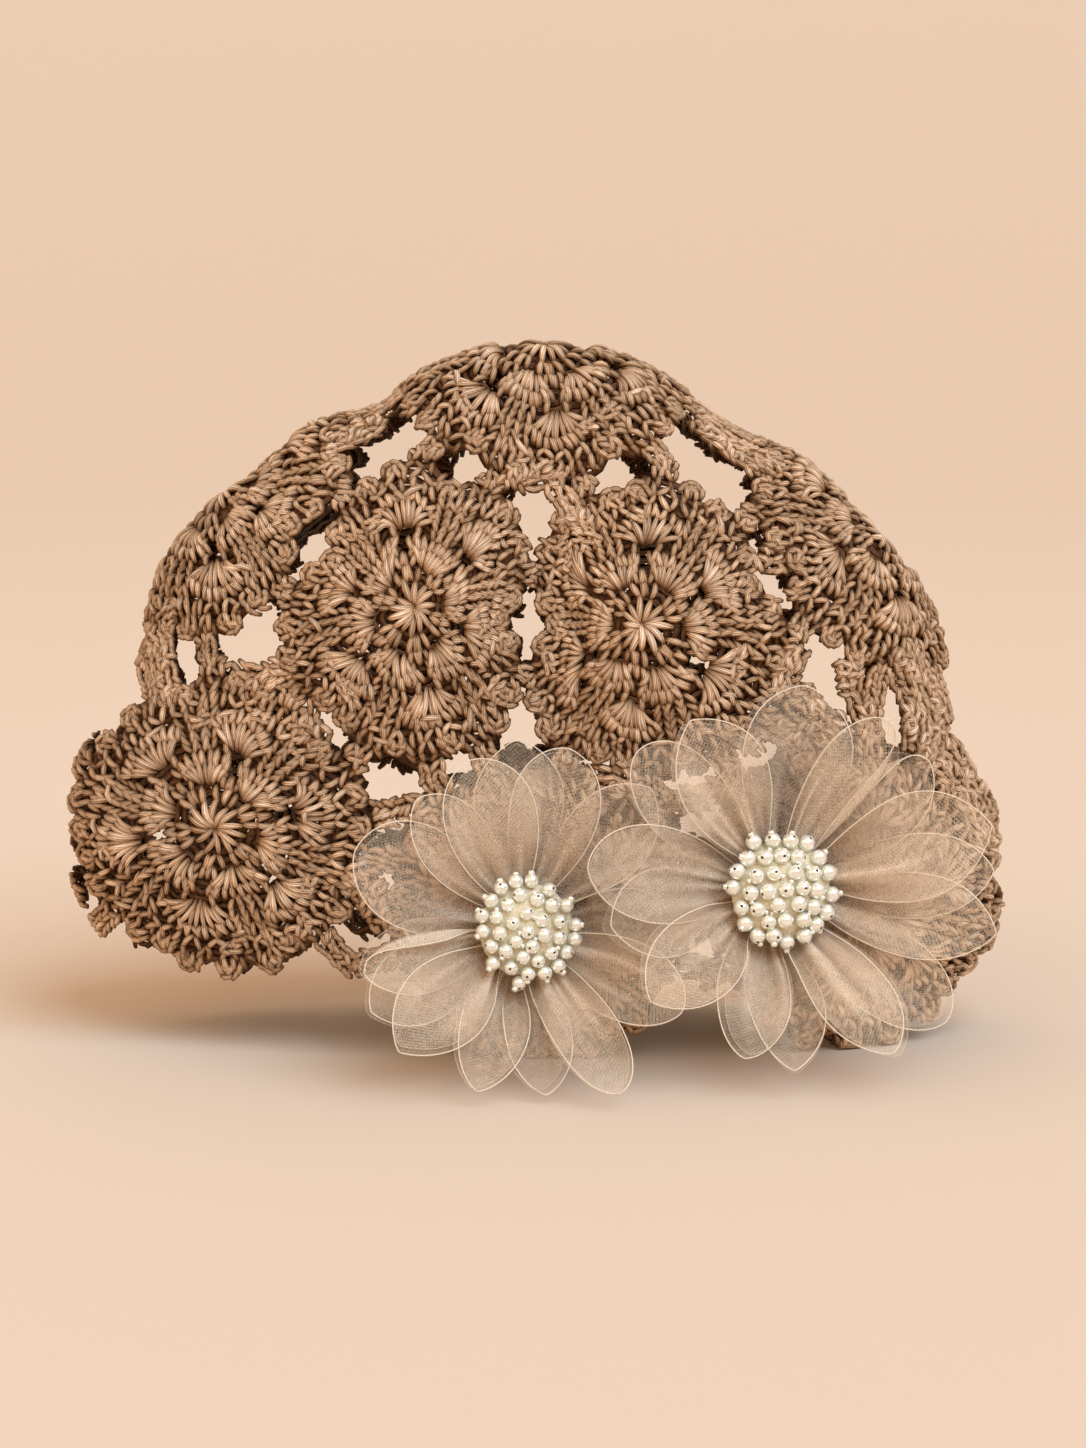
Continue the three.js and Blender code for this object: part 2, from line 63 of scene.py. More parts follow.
def placeCamera():
    lift = math.radians(camera["elevation"])
    back = Vector((0, -math.cos(lift), math.sin(lift)))
    bpy.ops.object.camera_add(location=Vector(camera["aim"]) + back * camera["distance"])
    eye = bpy.context.object
    eye.rotation_euler = (math.pi / 2 - lift, 0, 0)
    eye.data.lens = camera["lens"]
    eye.data.sensor_width = camera["sensor"]
    eye.data.clip_end = camera["sees"]
    bpy.context.scene.camera = eye


def placeLights():
    for name, lamp in lamps.items():
        bpy.ops.object.light_add(type="SUN", location=Vector(lamp["from"]) * 2)
        light = bpy.context.object
        light.name = name + "_light"
        light.rotation_euler = Vector(lamp["from"]).to_track_quat("Z", "Y").to_euler()
        light.data.angle = math.radians(lamp["width"])
        light.data.energy = lamp["strength"]
        light.data.color = lamp["colour"]
    world = bpy.data.worlds.new("studio")
    bpy.context.scene.world = world
    world.use_nodes = True
    background = world.node_tree.nodes["Background"]
    background.inputs["Color"].default_value = (*sky["colour"], 1)
    background.inputs["Strength"].default_value = sky["strength"]


# Small helpers for meshes and materials.
def meshPiece(name, points, faces, uvs=None, values=None, materials=(), which=None):
    mesh = bpy.data.meshes.new(name)
    corners = np.concatenate([f.ravel() for f in faces])
    sizes = np.concatenate([np.full(len(f), f.shape[1]) for f in faces])
    mesh.vertices.add(len(points))
    mesh.vertices.foreach_set("co", (points / 1000).astype(np.float32).ravel())
    mesh.loops.add(len(corners))
    mesh.loops.foreach_set("vertex_index", corners.astype(np.int32))
    mesh.polygons.add(len(sizes))
    mesh.polygons.foreach_set("loop_start", (np.cumsum(sizes) - sizes).astype(np.int32))
    mesh.update(calc_edges=True)
    mesh.polygons.foreach_set("use_smooth", np.ones(len(sizes), bool))
    if uvs is not None:
        mesh.uv_layers.new(name="thread").data.foreach_set("uv", uvs.astype(np.float32).ravel())
    for key, value in (values or {}).items():
        mesh.attributes.new(key, "FLOAT", "POINT").data.foreach_set("value", value.astype(np.float32).ravel())
    for material in materials:
        mesh.materials.append(material)
    if which is not None:
        mesh.polygons.foreach_set("material_index", which.astype(np.int32))
    mesh.update()
    piece = bpy.data.objects.new(name, mesh)
    bpy.context.scene.collection.objects.link(piece)
    return piece


def dress(piece, cadNode):
    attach(piece, "root")
    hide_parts(cadNode)


def unit(vectors):
    return vectors / np.maximum(np.linalg.norm(vectors, axis=-1, keepdims=True), 1e-9)


# How far each point of a line, or of many lines, lies from its start, along the line.
def goneAlong(lines):
    steps = np.linalg.norm(np.diff(lines, axis=-2), axis=-1)
    return np.concatenate([np.zeros(steps.shape[:-1] + (1,)), np.cumsum(steps, -1)], -1)


def pointsAt(line, gone, places):
    return np.column_stack([np.interp(places, gone, line[:, 0]), np.interp(places, gone, line[:, 1])])


# Round tubes along many lines of the same number of points, all at once.
def sweepTubes(lines, outs, radii, sides, first=0, flatness=1.0):
    along = unit(np.gradient(lines, axis=1))
    across = unit(np.cross(along, outs))
    up = np.cross(across, along)
    turn = np.arange(sides) / sides * 2 * math.pi
    ring = across[:, :, None] * np.cos(turn)[:, None] + up[:, :, None] * np.sin(turn)[:, None] * flatness
    points = lines[:, :, None] + ring * radii[:, :, None, None]
    count, steps = lines.shape[:2]
    index = first + np.arange(count * steps * sides).reshape(count, steps, sides)
    a, b = index[:, :-1], index[:, 1:]
    quads = np.stack([a, b, np.roll(b, -1, 2), np.roll(a, -1, 2)], -1).reshape(-1, 4)
    caps = np.concatenate([index[:, 0], index[:, -1, ::-1]])
    gone = goneAlong(lines)
    u = np.arange(sides + 1) / sides
    low, high = gone[:, :-1], gone[:, 1:]
    uv = np.zeros((count, steps - 1, sides, 4, 2))
    uv[..., 0] = np.stack([u[:-1], u[:-1], u[1:], u[1:]], -1)
    uv[..., 1] = np.stack([low, high, high, low], -1)[:, :, None]
    capUv = np.zeros((len(caps), sides, 2))
    capUv[..., 0] = u[:-1]
    capUv[count:, :, 1] = gone[:, -1:]
    lift = np.sin(turn) * radii[:, :, None]
    return points.reshape(-1, 3), quads, caps, uv.reshape(-1, 2), capUv.reshape(-1, 2), lift


def shaderFor(name, settings):
    material = bpy.data.materials.new(name)
    material.use_nodes = True
    tree = material.node_tree
    shader = tree.nodes["Principled BSDF"]
    for key, value in settings.items():
        shader.inputs[key].default_value = value
    return material, tree, shader


def node(tree, kind, links=None, out=0, **settings):
    made = tree.nodes.new("ShaderNode" + kind)
    for key, value in settings.items():
        setattr(made, key, value)
    for key, value in (links or {}).items():
        socket = made.inputs[key]
        if isinstance(value, bpy.types.NodeSocket):
            tree.links.new(value, socket)
        else:
            socket.default_value = value
    return made.outputs[out]


def noise(tree, place, scale, detail, **more):
    return node(tree, "TexNoise", {"Vector": place, "Scale": scale, "Detail": detail, **more}, out="Fac")


def stored(tree, name):
    return node(tree, "Attribute", out="Fac", attribute_name=name)


def ramp(tree, factor, stops):
    colour = node(tree, "ValToRGB", {"Fac": factor})
    band = colour.node.color_ramp
    while len(band.elements) < len(stops):
        band.elements.new(0.5)
    for element, (place, tint) in zip(band.elements, stops):
        element.position = place
        element.color = (*tint, 1)
    return colour


def mix(tree, share, one, two, way="MIX"):
    colours = [(*c, 1) if isinstance(c, tuple) else c for c in (one, two)]
    return node(tree, "MixRGB", {"Fac": share, "Color1": colours[0], "Color2": colours[1]}, blend_type=way)


def calculate(tree, operation, a, b=0.0, clamp=False):
    return node(tree, "Math", {0: a, 1: b}, operation=operation, use_clamp=clamp)


def plus(tree, a, b):
    return calculate(tree, "ADD", a, b)


def minus(tree, a, b, clamp=False):
    return calculate(tree, "SUBTRACT", a, b, clamp)


def times(tree, a, b, clamp=False):
    return calculate(tree, "MULTIPLY", a, b, clamp)


def roughen(tree, shader, height, strength, distance):
    bump = node(tree, "Bump", {"Height": height, "Strength": strength, "Distance": distance})
    tree.links.new(bump, shader.inputs["Normal"])


def selectEdges(mesh, wanted):
    bpy.ops.object.mode_set(mode="EDIT")
    bpy.ops.mesh.select_mode(type="EDGE")
    bpy.ops.mesh.select_all(action="DESELECT")
    bpy.ops.object.mode_set(mode="OBJECT")
    for edge in mesh.edges:
        edge.select = all(wanted(mesh.vertices[v].co) for v in edge.vertices)
    bpy.ops.object.mode_set(mode="EDIT")


# Extrudes the selected ring through a profile of radii and heights, all in metres.
def extrudeRing(profile):
    for (reach, height), (nextReach, nextHeight) in zip(profile, profile[1:]):
        bpy.ops.mesh.extrude_region_move(TRANSFORM_OT_translate={"value": (0, 0, nextHeight - height)})
        share = nextReach / reach
        bpy.ops.transform.resize(value=(share, share, 1), center_override=(0, 0, nextHeight))


# The floor is one seamless sweep, flat under the hat and turned up far away.
def buildFloor():
    profile = [(floor["start"], 0.0), (floor["flat"], 0.0)]
    for k in range(1, floor["rings"] + 1):
        share = k / floor["rings"]
        reach = floor["flat"] + (floor["far"] - floor["flat"]) * share
        profile.append((reach, floor["rise"] * share ** floor["curve"]))
    profile += floor["upturn"]
    bpy.ops.mesh.primitive_circle_add(vertices=floor["steps"], radius=floor["start"], fill_type="TRIFAN")
    ground = bpy.context.object
    ground.name = "studio_floor"
    selectEdges(ground.data, lambda place: place.length > floor["start"] / 2)
    extrudeRing(profile)
    bpy.ops.object.mode_set(mode="OBJECT")
    bpy.ops.object.shade_smooth()
    material, tree, shader = shaderFor("studio_paper", {"Roughness": 0.9, "Specular IOR Level": 0.1})
    place = node(tree, "TexCoord", out="Object")
    away = node(tree, "VectorMath", {0: place}, out="Value", operation="LENGTH")
    share = minus(tree, away, floor["awayFrom"], clamp=True)
    # the paper darkens from the near tone to the away tone: painted falloff of the light on the far floor and
    # sweep
    tone = ramp(tree, share, [(0.0, floor["near"]), (1.0, floor["away"])])
    speck = ramp(tree, noise(tree, place, 900.0, 2.0), [(0.3, (0.985, 0.985, 0.985)), (0.7, (1.0, 1.0, 1.0))])
    tree.links.new(mix(tree, 1.0, tone, speck, "MULTIPLY"), shader.inputs["Base Color"])
    ground.data.materials.append(material)


placeCamera()
placeLights()
buildFloor()
bpy.context.scene.view_settings.view_transform = "Standard"
print("camera, lights and floor are in place")

# The hat's wall: a flattened egg with dents, the same as the part's.
wall = {
    "radii": (128.5, 36.0, 142.0), "middle": (0.0, 0.0, 53.0), "shift": (1.0, 25.2, 0.0), "dome": 4.0,
    "body": 40.5, "scallop": 45.0, "notch": 41.5, "openGap": 5.0, "jointHalf": 4.2, "jointSpread": 0.24,
    "steps": 120, "stride": 1.5, "limit": 70.5, "rimZone": 6.0, "rimStepDeg": 20, "edgeSteps": 721,
}
# where the wall bulges or is dented: x, z, wall, push, across, up
dents = [
    (4, 122, "front", -8, 11, 38), (42, 118, "front", 5, 20, 26), (-40, 118, "front", 3, 22, 26),
    (52, 172, "both", -6, 13, 16), (-48, 178, "both", -4, 9, 14), (-112, 108, "both", -3, 22, 13),
    (8, 120, "back", -6, 14, 36), (-127, 62, "both", 9, 20, 20), (-84, 166, "both", -5, 16, 14),
    (98, 155, "both", -7, 26, 20), (120, 100, "both", -3, 22, 18), (127, 44, "both", 6, 14, 16),
]
# each motif: its star's x and z, its wall, how far its lace is turned, and how much it is ruffled
motifs = {
    "crown_motif": (1, 195, "crest", 10, 0.9),
    "left_fold_motif": (-91.6, 157.5, "front", -8, 0.8),
    "right_fold_motif": (97.6, 146.8, "front", 20, 1.2),
    "front_left_motif": (-34.7, 127.1, "front", 12, 0.5),
    "front_right_motif": (27.3, 123, "front", -5, 1.5),
    "front_rim_left_motif": (-89.3, 66, "front", -16, 0.4),
    "front_rim_middle_motif": (0, 42.5, "front", 8, 0.3),
    "front_rim_right_motif": (89.3, 43, "front", -14, 0.4),
    "back_left_motif": (-36.6, 112, "back", 5, 0.6),
    "back_right_motif": (28.8, 108, "back", -12, 0.6),
    "back_rim_left_motif": (-91, 56, "back", 18, 0.5),
    "back_rim_middle_motif": (0, 40, "back", -6, 0.3),
    "back_rim_right_motif": (91, 41, "back", 14, 0.5),
}
# corners of the front that are filled with more plaits, by the motif that they belong to: how many rows,
# how far apart, and the x and z of the places that they run through
bridges = {
    "left_fold_motif": [
        (3, 3.0, [(-109, 118), (-108, 109), (-105, 99)]),
    ],
    "front_rim_left_motif": [
        (2, 3.0, [(-88, 108), (-78, 108), (-68, 109)]),
        (2, 2.8, [(-67, 99), (-60, 90)]),
        (3, 3.0, [(-53, 53), (-48, 46), (-43, 38)]),
    ],
    "front_left_motif": [
        (2, 3.0, [(-48, 71), (-40, 70), (-32, 73)]),
    ],
    "front_rim_middle_motif": [
        (2, 3.0, [(12, 79), (20, 81), (28, 78)]),
    ],
    "right_fold_motif": [
        (3, 3.0, [(44, 181), (52, 176), (60, 170), (68, 165)]),
        (2, 3.2, [(86, 112), (87, 104), (92, 96), (94, 88)]),
        (5, 3.2, [(104, 113), (107, 104), (110, 95), (110, 84)]),
        (2, 3.0, [(72, 118), (68, 110), (68, 102)]),
    ],
    "front_right_motif": [
        (2, 3.2, [(62, 96), (68, 92), (74, 86), (80, 80)]),
        (3, 3.0, [(70, 104), (77, 98), (84, 91)]),
        (2, 2.6, [(3, 164), (7, 158), (12, 151)]),
        (2, 3.0, [(62, 140), (68, 140), (75, 140)]),
        (2, 3.0, [(33, 74), (42, 75), (52, 78)]),
        (2, 3.0, [(54, 93), (61, 88)]),
    ],
    "crown_motif": [
        (2, 3.0, [(-9, 166), (-3, 163), (4, 165)]),
        (3, 3.0, [(-45, 181), (-53, 176), (-61, 171)]),
    ],
    "front_rim_right_motif": [
        (4, 3.0, [(115, 86), (120, 77), (123, 67), (124, 56)]),
    ],
}
wallRadii, wallMiddle, wallShift = (np.array(wall[key]) for key in ("radii", "middle", "shift"))
fullTurn = 2 * math.pi


def ontoWall(points):
    local = points - wallMiddle
    for _ in range(3):
        out = local / wallRadii**2
        depth = (local * out).sum(-1, keepdims=True) - 1
        local = local - out * depth / (2 * (out**2).sum(-1, keepdims=True))
    return local + wallMiddle, unit(local / wallRadii**2)


def dentAt(points):
    total = np.zeros(points.shape[:-1])
    for x, z, side, push, across, up in dents:
        bump = push * np.exp(-(((points[..., 0] - x) / across) ** 2 + ((points[..., 2] - z) / up) ** 2) / 2)
        if side != "both":
            bump = np.where((points[..., 1] < 0) == (side == "front"), bump, 0)
        total += bump
    return total


def placeOnWall(x, z, side):
    within = 1 - (x / wallRadii[0]) ** 2 - ((z - wallMiddle[2]) / wallRadii[2]) ** 2
    depth = wallRadii[1] * math.sqrt(max(within, 0))
    middle, out = ontoWall(np.array([x, depth if side == "back" else -depth, z], float))
    right = unit(np.cross((0, 1, 0) if side == "crest" else (0, 0, 1), out))
    return {"middle": middle, "out": out, "right": right, "up": np.cross(out, right)}


# Walks out from a motif's middle in every direction at once, and keeps each step's point and way out.
def walkOut(place):
    angles = np.arange(wall["steps"]) / wall["steps"] * fullTurn
    heading = np.cos(angles)[:, None] * place["right"] + np.sin(angles)[:, None] * place["up"]
    point = np.repeat(place["middle"][None], wall["steps"], 0)
    points, outs = [point], [np.repeat(place["out"][None], wall["steps"], 0)]
    for _ in range(int(wall["limit"] / wall["stride"])):
        point, out = ontoWall(point + heading * wall["stride"])
        heading = unit(heading - out * (heading * out).sum(-1, keepdims=True))
        points.append(point)
        outs.append(out)
    return np.stack(points, 1), np.stack(outs, 1)


# How far a motif's ground reaches each way, and which neighbour it meets there.
def groundOf(places, walks, own):
    points = walks[own][0]
    away = np.linalg.norm(points - places[own]["middle"], axis=-1)
    excess = np.stack([away - np.linalg.norm(points - other["middle"], axis=-1) for other in places], -1)
    excess[..., own] = -np.inf
    nearest, most = excess.argmax(-1), excess.max(-1)
    ground = []
    for k in range(wall["steps"]):
        over = np.nonzero(most[k, 1:] >= 0)[0]
        reach, neighbour = wall["scallop"], -1
        if len(over):
            step = over[0] + 1
            share = most[k, step - 1] / (most[k, step - 1] - most[k, step]) if step > 1 else 0.5
            reach, neighbour = (step - 1 + share) * wall["stride"], int(nearest[k, step])
            if points[k, step, 2] < wall["rimZone"] and reach > wall["scallop"]:
                reach, neighbour = wall["scallop"], -1
        edge = points[k, min(int(reach / wall["stride"] + 1), points.shape[1] - 1)]
        angle = k / wall["steps"] * fullTurn
        ground.append({"angle": angle, "reach": reach, "neighbour": neighbour, "point": edge})
    return ground


def reachAt(ground, angles):
    known = np.array([g["reach"] for g in ground] + [ground[0]["reach"]])
    return np.interp(np.mod(angles, fullTurn), np.linspace(0, fullTurn, len(known)), known)


# The places round a motif where it is joined to a neighbour, or has a free scallop.
def tipsOf(ground):
    first = next(k for k, g in enumerate(ground) if g["neighbour"] != ground[k - 1]["neighbour"])
    later = [{**g, "angle": g["angle"] + fullTurn} for g in ground[:first]]
    tips = []
    for neighbour, stretch in groupby(ground[first:] + later, key=lambda g: g["neighbour"]):
        run = list(stretch)
        angles = [g["angle"] for g in run]
        low, high = angles[0], angles[-1]
        gone = goneAlong(np.array([g["point"] for g in run]))
        if neighbour < 0:
            number = max(1, round(math.degrees(high - low) / wall["rimStepDeg"]))
            places = [low + (k + 0.5) / number * (high - low) for k in range(number)]
        else:
            # two arms to each neighbour, one where the border is short, none where it is very short
            shares = [0.5 + side * wall["jointSpread"] for side in (-1, 1)] if len(run) >= 8 else [0.5]
            places = [float(np.interp(share * gone[-1], gone, angles)) for share in shares if len(run) >= 3]
        tips += [{"angle": angle, "joint": neighbour >= 0} for angle in places]
    return sorted(tips, key=lambda tip: tip["angle"])


def nextAngle(tips, k):
    return tips[(k + 1) % len(tips)]["angle"] + (fullTurn if k + 1 == len(tips) else 0)


# The edge's distance from the middle all the way round, out to each tip and in to each notch.
def edgeOf(ground, tips):
    corners = []
    for k, tip in enumerate(tips):
        half = wall["jointHalf"] / reachAt(ground, tip["angle"])
        for angle in (tip["angle"] - half, tip["angle"] + half):
            corners.append((angle, float(reachAt(ground, angle))))
        angle = (tip["angle"] + nextAngle(tips, k)) / 2
        free = not tip["joint"] and not tips[(k + 1) % len(tips)]["joint"]
        room = float(reachAt(ground, angle)) - wall["openGap"]
        corners.append((angle, wall["notch"] if free else min(wall["body"], room)))
    corners.append((corners[0][0] + fullTurn, corners[0][1]))
    angles, radii = [], []
    for (a, r), (b, s) in zip(corners, corners[1:]):
        for share in np.linspace(0, 1, 12, endpoint=False):
            x = r * math.cos(a) * (1 - share) + s * math.cos(b) * share
            y = r * math.sin(a) * (1 - share) + s * math.sin(b) * share
            angles.append(math.atan2(y, x) % fullTurn)
            radii.append(math.hypot(x, y))
    order = np.argsort(angles)
    around = np.linspace(0, fullTurn, wall["edgeSteps"])
    return np.interp(around, np.array(angles)[order], np.array(radii)[order], period=fullTurn)


# The lace of one motif, drawn flat in a disc of radius 45, as strands of cord.
lace = {
    "cord": 1.88, "sides": 5, "seed": 4, "sectors": 6, "openSectors": (0, 1, 3, 5), "innerShare": 33.0,
    "band": 11.5, "starLeaves": 14, "starReach": 8.6, "starStep": 1.1, "starCord": 2.1, "slot": (17.0, 21.2),
    "slotHalf": 1.1, "slotEnds": 0.6, "columnRows": (21.0, 23.6, 26.2, 28.8, 31.4), "besideSlot": 3,
    "slotStep": 2.5, "slotStitch": ((14.2, 1.7, 0.3), (18.4, 2.9, 0.4)),  # out, aside, wider with each step
}
shells = {
    "inner": {"root": 11.8, "length": 7.4, "fan": 54, "posts": 9, "rootWidth": 5.0},
    "outer": {"root": 22.0, "length": 9.0, "fan": 60, "posts": 11, "rootWidth": 5.6},
}
# rows of slanted pairs: how far out, how many, how long, how far they spread, and over what angle
pairs = {
    "starRing": {"rho": 7.3, "count": 20, "length": 4.9, "spread": 1.5, "rise": -0.1, "width": 2.0},
    "shellFoot": {"rho": 11.4, "count": 2, "length": 4.0, "spread": 1.2, "span": 22},
    "column": {"count": 3, "length": 4.5, "spread": 1.9, "span": 22, "width": 1.75},
    "lowRim": {"rho": 32.8, "count": 38, "length": 4.2, "spread": 2.0, "rise": 0.3, "width": 1.85},
    "highRim": {"rho": 35.7, "count": 38, "length": 4.4, "spread": 2.0, "width": 1.85},
}
backing = {
    "from": 2.4, "to": 41.5, "apart": 2.4, "radius": 1.25, "height": -1.05, "overlap": 0.04,
    "innerTo": 23, "inner": (7.0, 5), "outer": (15.0, 8),  # how long each run is, and its points
}
longStrand, shortStrand, tinyStrand = 6, 5, 4
sectorTurn = 360 // lace["sectors"]


def spot(rho, degrees, side=0.0):
    angle = math.radians(degrees)
    return np.array([
        rho * math.cos(angle) - side * math.sin(angle), rho * math.sin(angle) + side * math.cos(angle)
    ])


# One strand from start to end, plump in the middle and tucked under at both ends.
def leaf(start, end, bow=0.0, low=(-0.5, -0.4), hump=1.25, width=None, points=shortStrand):
    share = np.linspace(0, 1, points)
    way = end - start
    normal = np.array([-way[1], way[0]]) / max(np.linalg.norm(way), 1e-6)
    arch = np.sin(math.pi * share)
    line = start + way * share[:, None] + normal * (bow * arch)[:, None]
    height = low[0] * (1 - share) + low[1] * share + hump * arch**0.8
    plump = 0.45 + 0.55 * np.sin(math.pi * (0.06 + 0.88 * share)) ** 0.6
    return np.column_stack([line, height, (width or lace["cord"]) / 2 * plump])


# A fan of long stitches out of one hole, closed at its far edge by a row of slanted pairs.
def shell(shape, angle, rise=0.3):
    strands, ends = [], []
    root = spot(shape["root"], angle)
    for j in range(shape["posts"]):
        f = 2 * j / (shape["posts"] - 1) - 1
        start = spot(shape["root"] + 0.5 * abs(f), angle, f * shape["rootWidth"] / 2)
        length = shape["length"] * (1 - 0.1 * f * f)
        end = root + spot(length, angle + f * shape["fan"]) + spot(0, angle, f * shape["rootWidth"] * 0.25)
        heights = (-0.9 + rise, 0.0 + rise)
        strands.append(leaf(start, end, bow=-0.5 * f, low=heights, hump=1.35, width=1.75, points=longStrand))
        ends.append((end, angle + f * shape["fan"] * 0.8))
    for (one, oneWay), (two, twoWay) in zip(ends, ends[1:]):
        middle, way = (one + two) / 2, (oneWay + twoWay) / 2
        for side in (-1, 1):
            start = middle + spot(-1.4, way, side * 0.2)
            end = middle + spot(2.9, way, side * 1.2 + 0.5)
            strands.append(leaf(start, end, bow=side * 0.3, low=(0.0 + rise, -0.7 + rise), hump=1.0))
    return strands


# A row of slanted pairs pointing outwards, as the tops of short stitches.
def pairRow(rho, count, length, spread, start=0.0, span=360.0, skip=None, rise=0.0, width=None):
    strands = []
    for k in range(count):
        angle = start + (k + 0.5) / count * span
        if skip and skip(angle):
            continue
        for side in (-1, 1):
            low = spot(rho, angle, side * 0.25)
            high = spot(rho + length, angle, side * spread)
            heights = (-0.4 + rise, -0.5 + rise)
            strands.append(leaf(low, high, bow=side * 0.35, low=heights, hump=1.1, width=width))
    return strands


def nearSector(angle, offset, degrees):
    away = (angle - offset + sectorTurn / 2) % sectorTurn - sectorTurn / 2
    return abs(away) < degrees


def drawLace():
    strands = []
    for k in range(lace["starLeaves"]):
        angle, width = 360 * k / lace["starLeaves"], lace["starCord"]
        start, end = spot(0.4, angle), spot(lace["starReach"] - lace["starStep"] * (k % 2), angle)
        strands.append(leaf(start, end, bow=0.35, low=(-0.3, -0.2), width=width, points=longStrand))
    strands += pairRow(**pairs["starRing"], skip=lambda a: nearSector(a, 0, 11))
    foot, column = pairs["shellFoot"], pairs["column"]
    for k in range(lace["sectors"]):
        middle = sectorTurn * k
        hole = middle + sectorTurn // 2
        strands += shell(shells["inner"], middle)
        strands += shell(shells["outer"], hole)
        strands += pairRow(**foot, start=middle + (sectorTurn - foot["span"]) / 2)
        # columns of pairs over each inner shell, between the outer ones
        for rho in lace["columnRows"]:
            strands += pairRow(rho, **column, start=middle - column["span"] / 2)
        # short stitches along both sides of the long hole
        for side in (-1, 1):
            for step in range(lace["besideSlot"]):
                low, high = (
                    spot(rho + lace["slotStep"] * step, hole, side * (aside + wider * step))
                    for rho, aside, wider in lace["slotStitch"]
                )
                strands.append(leaf(low, high, bow=side * 0.3, low=(-0.7, -0.2), hump=1.1))
    return strands + pairRow(**pairs["lowRim"]) + pairRow(**pairs["highRim"], start=4.7)


# Rows that run round behind the stitches, as the wrong side of the lace shows them; where they show through
# the gaps between the stitches they are coloured dark with painted shade.
def drawBacking():
    runs = []
    slotLow, slotHigh = lace["slot"]
    for rho in np.arange(backing["from"], backing["to"], backing["apart"]):
        runLength, steps = backing["inner" if rho < backing["innerTo"] else "outer"]
        slotDegrees = math.degrees(lace["slotHalf"] / rho)
        byHole = slotLow - lace["slotEnds"] < rho < slotHigh + lace["slotEnds"]
        count = max(2, int(round(rho * fullTurn / runLength)))
        for k in range(count):
            angles = (k + np.linspace(-backing["overlap"], 1 + backing["overlap"], steps)) / count * 360
            inner = [a for a in angles[1:-1] if a // sectorTurn in lace["openSectors"]]
            if byHole and any(nearSector(a, sectorTurn / 2, slotDegrees) for a in inner):
                continue
            wave = rho + 0.5 * np.sin(np.radians(angles) * round(rho * 1.4))
            line = [spot(r, a) for r, a in zip(wave, angles)]
            height = backing["height"] + 0.25 * np.sin(np.radians(angles) * round(rho * 1.9))
            runs.append(np.column_stack([line, height, np.full(steps, backing["radius"])]))
    return runs


# A plait along any line of the chart: each pair of strands comes out of the fork of the one before.
def plait(line, spacing, half, rise=0.0, width=None):
    gone = goneAlong(line)
    count = max(2, int(round(gone[-1] / spacing)))
    strands = []
    for k in range(count):
        span = gone[-1] * np.array([k, min(k + 1.9, count)]) / count
        start, end = pointsAt(line, gone, span)
        way = (end - start) / max(np.linalg.norm(end - start), 1e-6)
        aside = np.array([-way[1], way[0]])
        for side in (-1, 1):
            strands.append(leaf(
                start + aside * side * 0.2, end + aside * side * half, bow=side * 0.45,
                low=(-0.5 + rise, -0.3 + rise), width=width, points=tinyStrand,
            ))
    return strands


# A knotty bump of the edge: a plait laid round a small arc, with stitches inside it.
def scallop(edge, angle, across=3.9, backwards=False):
    reach = across - 1.1
    arc = np.radians(np.linspace(-128, 128, 11))
    line = np.array([spot(edge - 0.8 - reach + reach * math.cos(b), angle, reach * math.sin(b)) for b in arc])
    strands = plait(line[::-1] if backwards else line, 2.5, 1.1, rise=-0.15, width=1.9)
    for f in (-1, 1):
        low, high = spot(edge - 6.6, angle, f * 1.3), spot(edge - 2.3, angle, f * 0.7)
        strands.append(leaf(low, high, bow=0.3 * f, low=(-0.1, -0.5), width=1.75))
    return strands


# An arm that joins two motifs: two plaits side by side, out to the neighbour's own arm.
def joiningArm(base, reach, angle):
    strands = []
    start = base - 3.0
    for side in (-1, 1):
        rhos = np.linspace(start, reach + 0.9, 6)
        line = np.array([spot(rho, angle, side * (1.75 + 0.5 * math.sin(rho * 1.1))) for rho in rhos])
        strands += plait(line, 2.3, 1.25, rise=0.1 * side, width=1.85)
    for k in range(2):
        low = start + (k + 0.6) * (reach - start) / 2
        wrap = spot(low, angle, -3.2), spot(low + 1.0, angle, 3.2)
        strands.append(leaf(*wrap, low=(-1.2, -1.2), hump=-0.2, width=2.0))
    return strands


bridgeWork = {
    "samples": 9, "sway": 1.1, "swayLength": 1.25, "rise": (-0.5, 0.15), "knotEvery": 7,
    "knotHalf": (1.9, 2.6), "knotWidth": 0.8, "beyond": 1.6,
}


